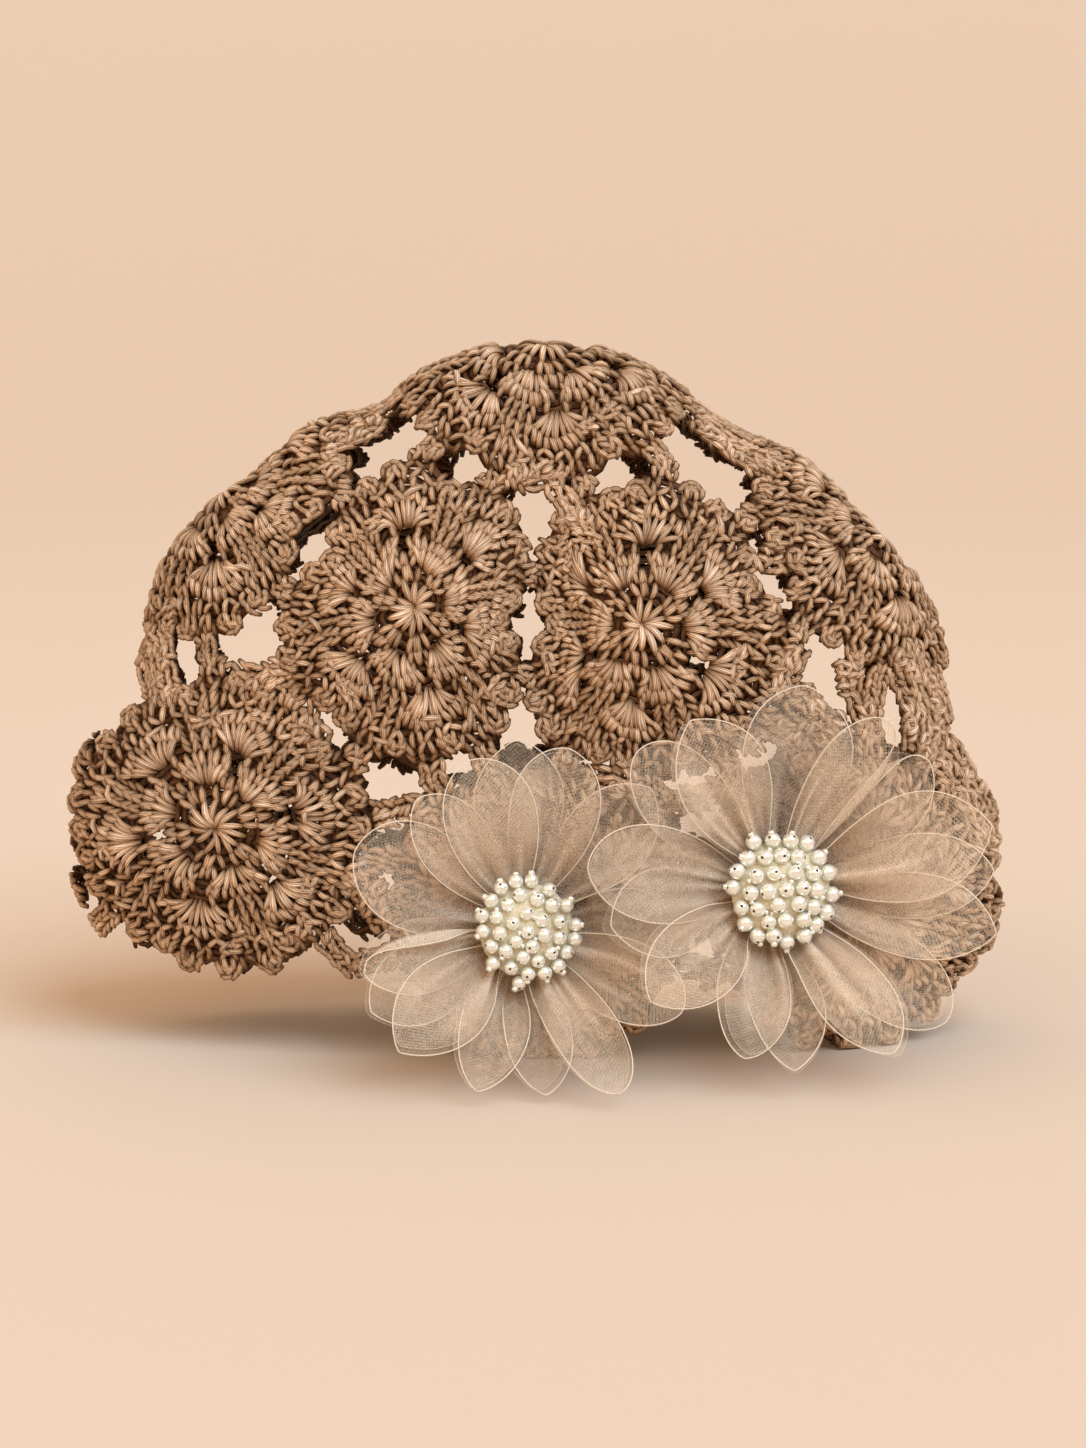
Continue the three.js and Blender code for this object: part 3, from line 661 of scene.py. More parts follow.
# Rows of plaits that fill a corner between motifs, side by side along one line of places on the wall.
def drawBridge(walkGrid, rows, apart, places, dice):
    corners = []
    for x, z in places:
        target = placeOnWall(x, z, "front")["middle"]
        away = np.linalg.norm(walkGrid[0] - target, axis=-1)
        k, step = np.unravel_index(away.argmin(), away.shape)
        corners.append(spot(step * wall["stride"], 360 * k / wall["steps"]))
    corners = np.array(corners)
    gone = goneAlong(corners)
    last = bridgeWork["samples"] - 1
    samples = np.linspace(0, gone[-1], last + 1)
    line = pointsAt(corners, gone, samples)
    way = unit(np.gradient(line, axis=0))
    aside = np.column_stack([-way[:, 1], way[:, 0]])
    strands = []
    for row in range(rows):
        offset = (row - (rows - 1) / 2) * apart
        wave = np.sin(samples / bridgeWork["swayLength"] + dice.uniform(0, fullTurn))
        track = (line + aside * (offset + bridgeWork["sway"] * wave)[:, None])[::-1 if row % 2 else 1]
        strands += plait(track, 2.6, 1.6, rise=dice.uniform(*bridgeWork["rise"]), width=2.0)
    # knots that sit across the rows
    for _ in range(int(gone[-1] * rows / bridgeWork["knotEvery"])):
        at, width = dice.uniform(0, last), dice.uniform(-0.5, 0.5) * rows * apart
        k = int(at)
        middle = line[k] + (line[min(k + 1, last)] - line[k]) * (at - k) + aside[k] * width
        angle = dice.uniform(0, math.pi)
        half = dice.uniform(*bridgeWork["knotHalf"]) * np.array([math.cos(angle), math.sin(angle)])
        across = bridgeWork["knotWidth"] * np.array([-math.sin(angle), math.cos(angle)])
        for side in (-1, 1):
            low, high = middle - half + across * side, middle + half + across * side
            strands.append(leaf(low, high, bow=0.7 * side, low=(-0.3, -0.3), hump=1.5, width=2.0))
    # cords laid across under the rows
    half = (rows - 1) / 2 * apart + bridgeWork["beyond"]
    for k in range(0, last, 2):
        low, high = line[k] - aside[k] * half, line[k + 1] + aside[k + 1] * half
        strands.append(leaf(low, high, low=(-1.3, -1.3), hump=-0.1, width=2.2))
    return strands


# How far out the even part of the lace goes: to the edge, or not as far where an arm carries on.
def bandEnd(ground, edge, angle):
    inner = np.minimum(wall["body"], reachAt(ground, angle) - wall["openGap"]) / wall["body"]
    rim = np.interp(np.mod(angle, fullTurn), np.linspace(0, fullTurn, wall["edgeSteps"]), edge)
    return inner, np.minimum(rim, lace["innerShare"] * inner + lace["band"])


def toChart(x, y, turn, ground, edge):
    rho = np.hypot(x, y)
    angle = np.arctan2(y, x) + turn
    inner, end = bandEnd(ground, edge, angle)
    join = lace["innerShare"]
    share = (rho - join) / 7.9
    radius = np.where(rho < join, rho * inner, join * inner + (end - 3.0 - join * inner) * share)
    return radius * np.cos(angle), radius * np.sin(angle)


# From a motif's flat chart onto the wall, raised by its height over the wall's own middle.
def ontoHat(walkGrid, x, y, height):
    around = np.mod(np.arctan2(y, x), fullTurn) / fullTurn * wall["steps"]
    away = np.clip(np.hypot(x, y) / wall["stride"], 0, walkGrid[0].shape[1] - 1.001)
    a, r = np.floor(around).astype(int), np.floor(away).astype(int)
    fa, fr = (around - a)[..., None], (away - r)[..., None]
    a0, a1 = a % wall["steps"], (a + 1) % wall["steps"]
    point, out = (
        (grid[a0, r] * (1 - fa) + grid[a1, r] * fa) * (1 - fr)
        + (grid[a0, r + 1] * (1 - fa) + grid[a1, r + 1] * fa) * fr for grid in walkGrid
    )
    out = unit(out)
    return point + out * (height + dentAt(point))[..., None], out


# The cord's colour by its height over the lace, with painted shade dark between the stitches and a painted
# highlight on their tops.
cordColourAndPaintedShade = [
    (0.0, (0.030, 0.005, 0.0005)), (0.42, (0.168, 0.073, 0.028)), (0.68, (0.380, 0.228, 0.122)),
    (0.90, (0.73, 0.51, 0.335)), (1.0, (1.0, 0.83, 0.66)),
]


def cordMaterial():
    satin = {"Roughness": 0.42, "Specular IOR Level": 0.25, "Specular Tint": (1.0, 0.90, 0.80, 1)}
    material, tree, shader = shaderFor("satin_cord", satin)
    thread = node(tree, "UVMap", uv_map="thread")
    across = node(tree, "SeparateXYZ", {"Vector": thread})
    along = across.node.outputs["Y"]
    place = node(tree, "TexCoord", out="Object")
    # fine filaments that run along each strand with a slight twist; the grooves between them are bumped and
    # darkened with painted shade
    around = plus(tree, times(tree, across, 7.0), times(tree, along, 0.16))
    lines = calculate(tree, "ABSOLUTE", calculate(tree, "SINE", times(tree, around, math.pi)))
    # the cord's colour with painted shade between the stitches and a painted highlight on their tops, read
    # from the rise attribute
    cordWithPaintedShade = ramp(tree, stored(tree, "rise"), cordColourAndPaintedShade)
    grooveShade = mix(tree, calculate(tree, "POWER", lines, 0.45), (0.42, 0.29, 0.21), (1, 1, 1))
    colourWithPaintedShade = mix(tree, 1.0, cordWithPaintedShade, grooveShade, "MULTIPLY")
    cloud = noise(tree, place, 22.0, 3.0)
    spread = plus(tree, times(tree, stored(tree, "tone"), 0.34), times(tree, cloud, 0.4))
    last = node(tree, "HueSaturation", {"Value": plus(tree, spread, 0.63), "Color": colourWithPaintedShade})
    tree.links.new(last, shader.inputs["Base Color"])
    fuzz = noise(tree, place, 2600.0, 3.0)
    roughen(tree, shader, plus(tree, times(tree, lines, 0.8), times(tree, fuzz, 0.3)), 0.8, 0.0003)
    return material


edgeWork = {
    "scallopEvery": 12.5, "proud": 0.6, "proudByArm": 0.1, "wrapEvery": 3.4, "wrap": (5.6, 1.6),
    "wrapSlant": 0.8, "loops": 14, "loopsAt": (0.64, 0.84), "loopHalf": (2.4, 3.6), "loopSlant": 0.8,
}


# The strands of one motif's edge: arms to its neighbours, scallops, and the wraps between them.
def drawEdge(ground, tips, edge, dice):
    strands = []

    def bandAt(degrees):
        return float(bandEnd(ground, edge, math.radians(degrees))[1])

    for j, tip in enumerate(tips):
        degrees = math.degrees(tip["angle"])
        reach = float(reachAt(ground, tip["angle"]))
        if tip["joint"]:
            strands += joiningArm(float(bandEnd(ground, edge, tip["angle"])[1]), reach, degrees)
        else:
            strands += scallop(reach, degrees, backwards=j % 2 == 1)
        room = math.degrees(nextAngle(tips, j) - tip["angle"])
        extra = max(0, round(room / edgeWork["scallopEvery"]) - 1)
        byArm = tip["joint"] or tips[(j + 1) % len(tips)]["joint"]
        proud = edgeWork["proudByArm" if byArm else "proud"]
        for step in range(extra):
            between = degrees + room * (step + 1) / (extra + 1)
            strands += scallop(bandAt(between) + proud, between, across=3.8, backwards=step % 2 == 0)
    gone = 0.0
    while gone < 360:
        rim = bandAt(gone)
        slant = edgeWork["wrapSlant"] * (1 if int(gone * 7) % 2 else -1)
        low, high = (spot(rim - inside, gone, s) for inside, s in zip(edgeWork["wrap"], (-slant, slant)))
        strands.append(leaf(low, high, bow=0.3, low=(-0.5, -1.2), hump=0.8, width=1.85, points=tinyStrand))
        gone += math.degrees(edgeWork["wrapEvery"] / rim)
    # a few loose loops and short plaits that lie over the outer rows
    for k in range(edgeWork["loops"]):
        angle = dice.uniform(0, 360)
        rho = dice.uniform(*edgeWork["loopsAt"]) * bandAt(angle)
        slant, half = dice.uniform(-1, 1) * edgeWork["loopSlant"], dice.uniform(*edgeWork["loopHalf"])
        start = spot(rho, angle, -half) + spot(half * slant, angle)
        end = spot(rho, angle, half) - spot(half * slant, angle)
        if k % 2:
            strands.append(leaf(start, end, bow=dice.uniform(-1.2, 1.2), low=(0.2, 0.2), hump=1.2))
        else:
            strands += plait(np.linspace(start, end, 4), 2.2, 1.05, rise=0.45, width=1.7)
    return strands


# How unevenly the lace is made by hand: how far strands are shifted, turned and raised, and the whole pulled.
hand = {
    "inner": (0.24, 0.09, 0.24), "outer": (0.2, 0.09, 0.2), "looser": 0.26, "looserFrom": 28, "looserOver": 6,
    "thickness": (0.93, 1.1), "swing": (0.05, 0.035), "wobble": 0.55, "wobbleLengths": (3.7, 3.9),
    "rimHeight": 0.95, "flatness": 0.88,
}


# Every strand keeps its place, but is shifted, turned, raised and thickened a little.
def unevenly(strands, dice, shift, turn, lift):
    count = len(strands)
    middle = strands[:, :, :2].mean(1, keepdims=True)
    away = np.hypot(middle[:, 0, 0], middle[:, 0, 1])
    outer = np.clip((away - hand["looserFrom"]) / hand["looserOver"], 0, 1)
    angle = dice.normal(0, 1, count) * (turn + hand["looser"] * outer)
    c, s = np.cos(angle)[:, None], np.sin(angle)[:, None]
    x, y = (strands[:, :, :2] - middle).transpose(2, 0, 1)
    turned = np.stack([x * c - y * s, x * s + y * c], -1)
    strands[:, :, :2] = middle + turned + dice.normal(0, shift, (count, 1, 2))
    strands[:, :, 2] += dice.normal(0, lift, (count, 1))
    strands[:, :, 3] *= dice.uniform(*hand["thickness"], (count, 1))
    return strands


def byLength(strands):
    sizes = sorted({len(strand) for strand in strands})
    return [np.array([strand for strand in strands if len(strand) == size]) for size in sizes]


# The pull that takes a motif's pattern out of true: a swing round its middle and a slow wobble.
def pulled(x, y, pull):
    around = np.arctan2(y, x)
    swing = hand["swing"][0] * np.sin(2 * around + pull[0]) + hand["swing"][1] * np.sin(3 * around + pull[1])
    x, y = x * np.cos(swing) - y * np.sin(swing), x * np.sin(swing) + y * np.cos(swing)
    ofY, ofX = hand["wobbleLengths"]
    return x + hand["wobble"] * np.sin(y / ofY + pull[0]), y + hand["wobble"] * np.sin(x / ofX + pull[1])


# How far the lace stands off its wall: domed over its middle, and ruffled near its edge.
def standOff(x, y, ruffle, phase):
    away = np.hypot(x, y)
    share = away / wall["body"]
    skirt = 0.36 * wall["dome"]
    outer = np.clip(skirt * (1 - (share - 0.8) / 0.31), 0, skirt)
    dome = np.where(share < 0.8, wall["dome"] * (1 - share**2), outer)
    wave = np.sin(6 * np.arctan2(y, x) + phase)
    return dome + ruffle * (wave * np.clip((away - 16) / 18, 0, 1) * np.clip((48 - away) / 8, 0, 1))


# Each point's place on the cord's colour ramp, which paints light and shade: painted shade where it is deep
# between the stitches, a painted highlight where it is high or on the upper side of its strand, and painted
# light on undersides that face in. The backing rows are dark painted shade, lighter on their inner side as
# painted light.
def paintedCordShade(height, lift, radius, isBack):
    under = np.clip(-lift / radius[:, :, None], 0, 1)
    if isBack:
        return 0.3 + 0.5 * under
    return np.maximum((0.7 * height[:, :, None] + 1.6 * lift + 1.65) / 4.1, 0.75 * under**4)


def buildMotif(name, walk, ground, edge, layers, pull, dice, cord):
    turn, ruffle = motifs[name][3:]
    points, quads, caps, uvs, capUvs, tones, paintedShades = [], [], [], [], [], [], []
    first = 0
    for strands, warped, sides in layers:
        x, y, height, radius = strands.transpose(2, 0, 1)
        if warped:
            x, y = toChart(*pulled(x, y, pull), math.radians(turn), ground, edge)
        line, out = ontoHat(walk, x, y, height + standOff(x, y, ruffle, pull[2]))
        line = line + wallShift
        line[..., 2] = np.maximum(line[..., 2], hand["rimHeight"] + 0.25 * height)
        tube = sweepTubes(line, out, radius, sides, first, flatness=hand["flatness"])
        for kept, part in zip((points, quads, caps, uvs, capUvs), tube):
            kept.append(part)
        first += len(tube[0])
        tones.append(np.repeat(dice.uniform(0, 1, len(line)), line.shape[1] * sides))
        paintedShades.append(paintedCordShade(height, tube[5], radius, sides == 3).ravel())
    # rise: each point's place on the ramp of painted shade and highlight
    values = {"tone": np.concatenate(tones), "rise": np.clip(np.concatenate(paintedShades), 0, 1)}
    faces, thread = [np.concatenate(quads)] + caps, np.concatenate(uvs + capUvs)
    piece = meshPiece(name + "_lace", np.concatenate(points), faces, thread, values, [cord])
    dress(piece, name)
    print(name, "has", sum(len(f) * (f.shape[1] - 2) for f in faces), "triangles")


def buildMotifs():
    places = [placeOnWall(*row[:3]) for row in motifs.values()]
    walks = [walkOut(place) for place in places]
    stitches, backRuns = byLength(drawLace()), byLength(drawBacking())
    cord, sides = cordMaterial(), lace["sides"]
    dice = np.random.default_rng(lace["seed"])
    for k, name in enumerate(motifs):
        ground = groundOf(places, walks, k)
        tips = tipsOf(ground)
        edge = edgeOf(ground, tips)
        pull = dice.uniform(0, fullTurn, 3)
        layers = [(unevenly(strands.copy(), dice, *hand["inner"]), True, sides) for strands in stitches]
        outer = drawEdge(ground, tips, edge, dice)
        for rows, apart, corners in bridges.get(name, []):
            outer += drawBridge(walks[k], rows, apart, corners, dice)
        layers += [(unevenly(strands, dice, *hand["outer"]), False, sides) for strands in byLength(outer)]
        layers += [(strands, True, 3) for strands in backRuns]
        buildMotif(name, walks[k], ground, edge, layers, pull, dice, cord)


buildMotifs()
print("the lace is hooked")

# The flowers: petals of doubled organza round a heart of pearls.
flowers = {
    "left_flower": {"at": (-5.5, -43.6, 40), "up": 10, "side": 8, "heart": 0.93, "pearl": 2.05},
    "right_flower": {"at": (64.5, -38, 50), "up": 9, "side": 10, "heart": 1.0, "pearl": 2.32},
}
petal = {
    "rootRadius": 8.0, "rootWidth": 5.0, "cup": 1.9, "rootRise": 8, "topRise": 23, "bottomRise": 60,
    "steps": 12, "fullAt": 26.0, "easeBack": 20, "easedAt": 60, "rootGap": 1.75, "layerGap": 3.2,
    "gapAt": 0.4, "rows": 26, "columns": 19, "rowsToTip": 1.6, "columnSpread": 0.96, "tip": (0.55, 0.85),
    "rootToTip": 1.65,
    "doubleGap": 0.75, "hem": 0.21, "gather": 0.7, "soft": 0.95, "frill": 0.7, "curl": (-1.5, 2.6),
    "creases": 6, "creaseLong": (0.5, 1.0), "creaseWide": (0.05, 0.13), "creaseRise": 0.85,
    "layerShades": (0.70, 0.80, 0.92, 1.0),  # painted shade by layer, nearest the hat first and darkest, as if shaded by the petals in front
}
# each petal: which way it points, its length, its width and its layer, 0 nearest the hat
petals = {
    "left_flower": [
        (108, 44, 27, 3), (76, 45, 25, 2), (129, 42, 21, 2), (191, 50, 24, 2), (218, 56, 31, 3),
        (247, 53, 26, 2), (295, 60, 26, 3), (330, 50, 28, 2), (91, 46, 24, 0), (154, 48, 30, 1),
        (204, 50, 24, 0), (272, 50, 24, 1), (47, 46, 24, 1), (357, 36, 24, 0),
    ],
    "right_flower": [
        (119, 50, 28, 3), (57, 50, 22, 2), (17, 57, 32, 3), (-13, 59, 28, 2), (-63, 61, 29, 3),
        (248, 55, 27, 2), (212, 57, 31, 3), (171, 56, 29, 2), (81, 50, 30, 0), (40, 49, 24, 1),
        (4, 55, 24, 0), (-42, 58, 29, 1), (266, 55, 27, 1), (188, 50, 26, 0), (136, 52, 24, 1),
    ],
}
# long edges that are folded over, by flower and petal: which edge, and from which share of the half width
folds = {("left_flower", 4): (-1, 0.62), ("right_flower", 2): (-1, 0.62), ("right_flower", 10): (1, 0.66)}


# A flower's frame as a matrix: its own z points out of the flower, its y up.
def flowerFrame(flower):
    tilt, turn = math.radians(90 - flower["up"]), math.radians(flower["side"])
    aboutX = np.array([[1, 0, 0], [0, math.cos(tilt), -math.sin(tilt)], [0, math.sin(tilt), math.cos(tilt)]])
    aboutZ = np.array([[math.cos(turn), -math.sin(turn), 0], [math.sin(turn), math.cos(turn), 0], [0, 0, 1]])
    return aboutZ @ aboutX, np.array(flower["at"], float) + wallShift


def petalPoints(angle, reach, height):
    outward = np.stack([np.cos(angle), np.sin(angle), np.zeros_like(angle)], -1)
    axis = np.array([0.0, 0.0, 1.0])
    rise = petal["bottomRise"] + (petal["topRise"] - petal["bottomRise"]) * (1 + np.sin(angle)) / 2
    point = outward * petal["rootRadius"]
    for k in range(petal["steps"]):
        gone = (k + 0.5) * reach / petal["steps"]
        share = np.clip(gone / petal["fullAt"], 0, 1)
        risen = petal["rootRise"] + (rise - petal["rootRise"]) * share**2 * (3 - 2 * share)
        slope = np.radians(risen - petal["easeBack"] * gone / petal["easedAt"])
        c, s = np.cos(slope)[..., None], np.sin(slope)[..., None]
        point = point + (reach / petal["steps"])[..., None] * (outward * c + axis * s)
    out = axis * c - outward * s
    return point + out * height[..., None], out


def petalHalf(share, width, tip):
    root = petal["rootToTip"] * tip
    widest = root / (root + tip)
    swell = share**root * np.clip(1 - share, 0.0004, 1) ** tip / (widest**root * (1 - widest) ** tip)
    ends = petal["rootWidth"] * (1 - share)
    return (ends + (width - ends) * swell) / 2


# One layer of a petal: a gathered, cupped sheet with soft folds, and how strongly each point is creased.
def petalLayer(at, length, width, lift, fold, tip, dice):
    rows = 1 - (1 - np.linspace(0, 1, petal["rows"])) ** petal["rowsToTip"]
    spread = math.pi / 2 * petal["columnSpread"]
    columns = np.sin(np.linspace(-1, 1, petal["columns"]) * spread) / math.sin(spread)
    share, column = np.meshgrid(rows, columns, indexing="ij")
    half = petalHalf(share, width, tip)
    opened = np.minimum(share / petal["gapAt"], 1)
    layerLift = lift["layer"] * (petal["rootGap"] + (petal["layerGap"] - petal["rootGap"]) * opened)
    phase, ripple, lean = dice.uniform(0, fullTurn), dice.uniform(0, fullTurn), dice.uniform(-0.12, 0.12)
    gather = petal["gather"] * np.cos(column * 7.5 + phase) * (1 - share) ** 1.6 * np.clip(share * 7, 0, 1)
    soft = petal["soft"] * np.cos(column * 3.6 + ripple + 1.2 * share) * np.sin(math.pi * share) ** 0.7
    frill = petal["frill"] * np.sin(share * 8 + ripple) * column**2 * np.sin(math.pi * share)
    curl = dice.uniform(*petal["curl"]) * share**4
    # where the cloth lies double in long soft creases that fan out from the root
    streak = np.zeros_like(share)
    for line in dice.uniform(-0.9, 0.9, petal["creases"]):
        long, wide = dice.uniform(*petal["creaseLong"]), dice.uniform(*petal["creaseWide"])
        fades = np.clip(1 - share / long, 0, 1) ** 0.6
        away = (column - line * (0.75 + 0.25 * share)) / wide
        streak += dice.uniform(0.5, 1.0) * fades * np.exp(-(away**2))
    side = column + lean * np.sin(math.pi * share) * (1 - column**2)
    extra = np.zeros_like(side)
    if fold:
        edge, line = fold
        past = np.clip(edge * side - line, 0, None) * np.sin(math.pi * np.clip(share, 0.04, 0.97)) ** 0.5
        side = side - edge * past * 1.9
        extra = np.minimum(past / 0.08, 1) * 0.75 + past * 0.6
    reach = share * length
    swing = np.arctan2(side * half, petal["rootRadius"] + 0.9 * reach)
    cup = petal["cup"] * dice.uniform(0.5, 1.7) * (2 * column * half / width) ** 2
    streak = np.clip(streak, 0, 1.2)
    raised = layerLift + cup + gather + soft + frill + curl + extra
    height = raised + petal["creaseRise"] * streak + lift["offset"]
    crease = np.clip(streak + np.clip(extra * 2, 0, 0.9), 0, 1)
    points, outs = petalPoints(math.radians(at) + swing, reach / np.cos(swing), height)
    return points, outs, share, column, half, reach, crease


# What each part of the cloth adds to the share of light that it stops, and what sheer takes off it.
cloth = {
    "weave": 0.24, "milky": 0.10, "grain": 0.16, "fibre": 0.19, "gathered": 0.44, "crease": 0.42, "hem": 0.52,
    # the cloth's colour from root to tip: its own pale colour outward, darkened toward the gathered root with
    # painted shade under the heart
    "sheer": 0.16, "colourAndRootShade": [(0.0, (0.15, 0.07, 0.03)), (0.3, (0.46, 0.30, 0.175)), (0.7, (1.0, 0.83, 0.64))],
}


def organzaMaterial():
    matt = {"Roughness": 0.6, "Specular IOR Level": 0.2, "Sheen Weight": 0.2, "Sheen Roughness": 0.35}
    material, tree, shader = shaderFor("organza", matt)
    along, hem, crease = stored(tree, "along"), stored(tree, "hem"), stored(tree, "crease")
    thread = node(tree, "UVMap", uv_map="thread")
    turned = node(tree, "Mapping", {"Vector": thread, "Rotation": (0, 0, 0.62)})
    waves = {"Vector": turned, "Detail": 2.0}
    warp = node(tree, "TexWave", {**waves, "Scale": 0.42, "Distortion": 2.2, "Detail Scale": 1.6}, out="Fac")
    across = {**waves, "Scale": 0.34, "Distortion": 2.5, "Detail Scale": 1.4}
    weft = node(tree, "TexWave", across, out="Fac", bands_direction="Y")
    weave = times(tree, plus(tree, warp, weft), 0.5)
    cloud = noise(tree, thread, 0.35, 5.0, Roughness=0.75)
    milky = times(tree, minus(tree, cloud, 0.38), 3.6, clamp=True)
    speck = noise(tree, thread, 2.4, 3.0, Roughness=0.8)
    grain = times(tree, minus(tree, speck, 0.42), 5.0, clamp=True)
    # curly fibres, thin lines where a stirred noise passes its middle value
    stirred = noise(tree, thread, 0.62, 3.0, Roughness=0.7, Distortion=2.6)
    apart = calculate(tree, "ABSOLUTE", minus(tree, stirred, 0.5))
    fibre = minus(tree, 1.0, times(tree, apart, 16.0), clamp=True)
    # painted shade darkens the cloth toward the root; where it lies double in creases it keeps its own pale
    # colour
    colourAndRootShade = ramp(tree, along, cloth["colourAndRootShade"])
    mottle = mix(tree, grain, (0.76, 0.67, 0.58), (1, 1, 1))
    woven = mix(tree, 1.0, mix(tree, crease, colourAndRootShade, (0.97, 0.82, 0.66)), mottle, "MULTIPLY")
    # each petal darkened by its layer: painted shade from the petals in front
    colourWithPaintedShade = node(tree, "HueSaturation", {"Value": stored(tree, "layerShade"), "Color": woven})
    pale = mix(tree, times(tree, fibre, 0.55), colourWithPaintedShade, (1.0, 0.89, 0.74))
    tree.links.new(mix(tree, hem, pale, (0.99, 0.87, 0.70)), shader.inputs["Base Color"])
    shares = plus(tree, times(tree, weave, cloth["weave"]), times(tree, milky, cloth["milky"]))
    hairs = plus(tree, times(tree, grain, cloth["grain"]), times(tree, fibre, cloth["fibre"]))
    gathered = times(tree, calculate(tree, "POWER", minus(tree, 1.0, along), 1.8), cloth["gathered"])
    shares = plus(tree, plus(tree, plus(tree, shares, hairs), gathered), times(tree, crease, cloth["crease"]))
    shares = minus(tree, shares, cloth["sheer"])
    alpha = calculate(tree, "ADD", shares, times(tree, hem, cloth["hem"]), clamp=True)
    tree.links.new(alpha, shader.inputs["Alpha"])
    roughen(tree, shader, weave, 0.25, 0.0002)
    return material


def buildPetal(flowerName, number, row, turn, middle, organza, dice):
    at, length, width, layer = row
    name = f"{flowerName}_petal_{number:02d}"
    points, faces, uvs, along, hem, crease = [], [], [], [], [], []
    first, flatArea = 0, 0.0
    tip = dice.uniform(*petal["tip"])
    for under in (0, 1):
        shift = under * dice.uniform(-2.6, 2.6)
        scale = 1 - under * dice.uniform(0.0, 0.04)
        lift = {"layer": layer, "offset": -under * petal["doubleGap"]}
        fold = None if under else folds.get((flowerName, number))
        got, outs, share, column, half, reach, creased = petalLayer(
            at + shift, length * scale, width * (1 - under * 0.03), lift, fold, tip, dice
        )
        index = first + np.arange(share.size).reshape(share.shape)
        flat = np.stack([column * half, reach], -1)
        quads, corner = (
            np.stack([grid[:-1, :-1], grid[1:, :-1], grid[1:, 1:], grid[:-1, 1:]], 2)
            for grid in (index, flat)
        )
        flatArea += float(np.trapz(2 * half[:, 0], reach[:, 0]))
        # the rolled hem, from the root round the tip and back
        rim, rimOut, rimShare = (
            np.concatenate([grid[:, 0], grid[-1, 1:-1], grid[::-1, -1]]) for grid in (got, outs, share)
        )
        radius = np.full((1, len(rim)), petal["hem"] * (1 - 0.45 * under))
        tube = sweepTubes(rim[None], rimOut[None], radius, 3, first + share.size)
        points += [got.reshape(-1, 3), tube[0]]
        faces += [quads.reshape(-1, 4), tube[1]]
        uvs += [corner.reshape(-1, 2), tube[3]]
        along += [share.ravel(), np.repeat(rimShare, 3)]
        hem += [np.zeros(share.size), np.full(len(tube[0]), 1 - 0.75 * under)]
        crease += [creased.ravel(), np.zeros(len(tube[0]))]
        first += share.size + len(tube[0])
    placed = np.concatenate(points) @ turn.T + middle
    placed[:, 2] = np.maximum(placed[:, 2], 0.15)
    values = {key: np.concatenate(rows) for key, rows in (("along", along), ("hem", hem), ("crease", crease))}
    # the painted shade of this petal's layer
    values["layerShade"] = np.full(len(placed), petal["layerShades"][layer])
    piece = meshPiece(name + "_organza", placed, faces, np.concatenate(uvs), values, [organza])
    dress(piece, name)


def buildPetals():
    organza = organzaMaterial()
    dice = np.random.default_rng(11)
    for flowerName, flower in flowers.items():
        for k, row in enumerate(petals[flowerName]):
            buildPetal(flowerName, k + 1, row, *flowerFrame(flower), organza, dice)


buildPetals()
print("the petals are sewn")

# The hearts: pearls and seed beads on a small domed pad.
heart = {
    "spread": 16.5, "seat": 11.3, "dome": 5.4, "pad": 13.4, "stem": 6.5, "foot": -0.9, "undercut": 2.5,
    "steps": 40, "domeRings": (0.94, 0.8, 0.6, 0.4, 0.2, 0.06), "seed": 0.88, "hole": 0.3, "outerFrom": 11.5,
}
# where the pearls lie in each heart, across and up from its middle
pearlSpots = {
    "left_flower": [
        (-2.9, 13.6), (1.5, 13.6), (6.3, 10.9), (11, 6.6), (13.5, 1.1), (13.2, -2.8), (-7, 11.8),
        (-2, 9.8), (2.7, 8.5), (-9.9, 8.5), (-5.4, 7.3), (6.8, 6.7), (-0.5, 4.8), (8.8, 2.3), (-12.5, 4.5),
        (-8.7, 3.9), (3.7, 2.9), (-4.3, 2.2), (-12.3, 0.1), (-8, -0.5), (-0.4, -0.2), (4.3, -1.3),
        (-3.6, -2.8), (8.5, -2.2), (0.8, -4.3), (-10.2, -4), (-6.4, -5.4), (6.2, -6.3), (10.7, -6.3),
        (-1.7, -7.2), (2.5, -8.4), (-9.8, -8.7), (-4.9, -10.1), (-0.2, -11.9), (4.4, -11.9), (8.4, -10.1),
        (-2.6, -14.5),
    ],
    "right_flower": [
        (-7.5, 13.8), (-2.3, 14.1), (2.6, 13.8), (7.5, 12.9), (-9.5, 9.3), (-4.9, 9.5), (-0.3, 9.9),
        (4.3, 9.3), (10.6, 8.9), (-12.6, 5.9), (-7.9, 4.6), (-3, 5.2), (3, 5.2), (8.5, 4.7), (13.2, 4.6),
        (-13.9, 1.5), (-9.5, 0), (-4.8, 0.3), (0.3, 0.6), (5, 0.9), (9.3, 0), (14.1, -1.4), (-11.9, -4),
        (-7.5, -4.5), (-2, -3.6), (3.6, -3.4), (8.2, -4.5), (12.3, -6.3), (-10.6, -8.5), (-4.5, -8.2),
        (0.1, -7.9), (5.2, -8), (9.2, -9.5), (-7.3, -12.1), (-2.9, -12.1), (5.7, -12.5), (1, -14.1),
    ],
}
millimetre = 0.001


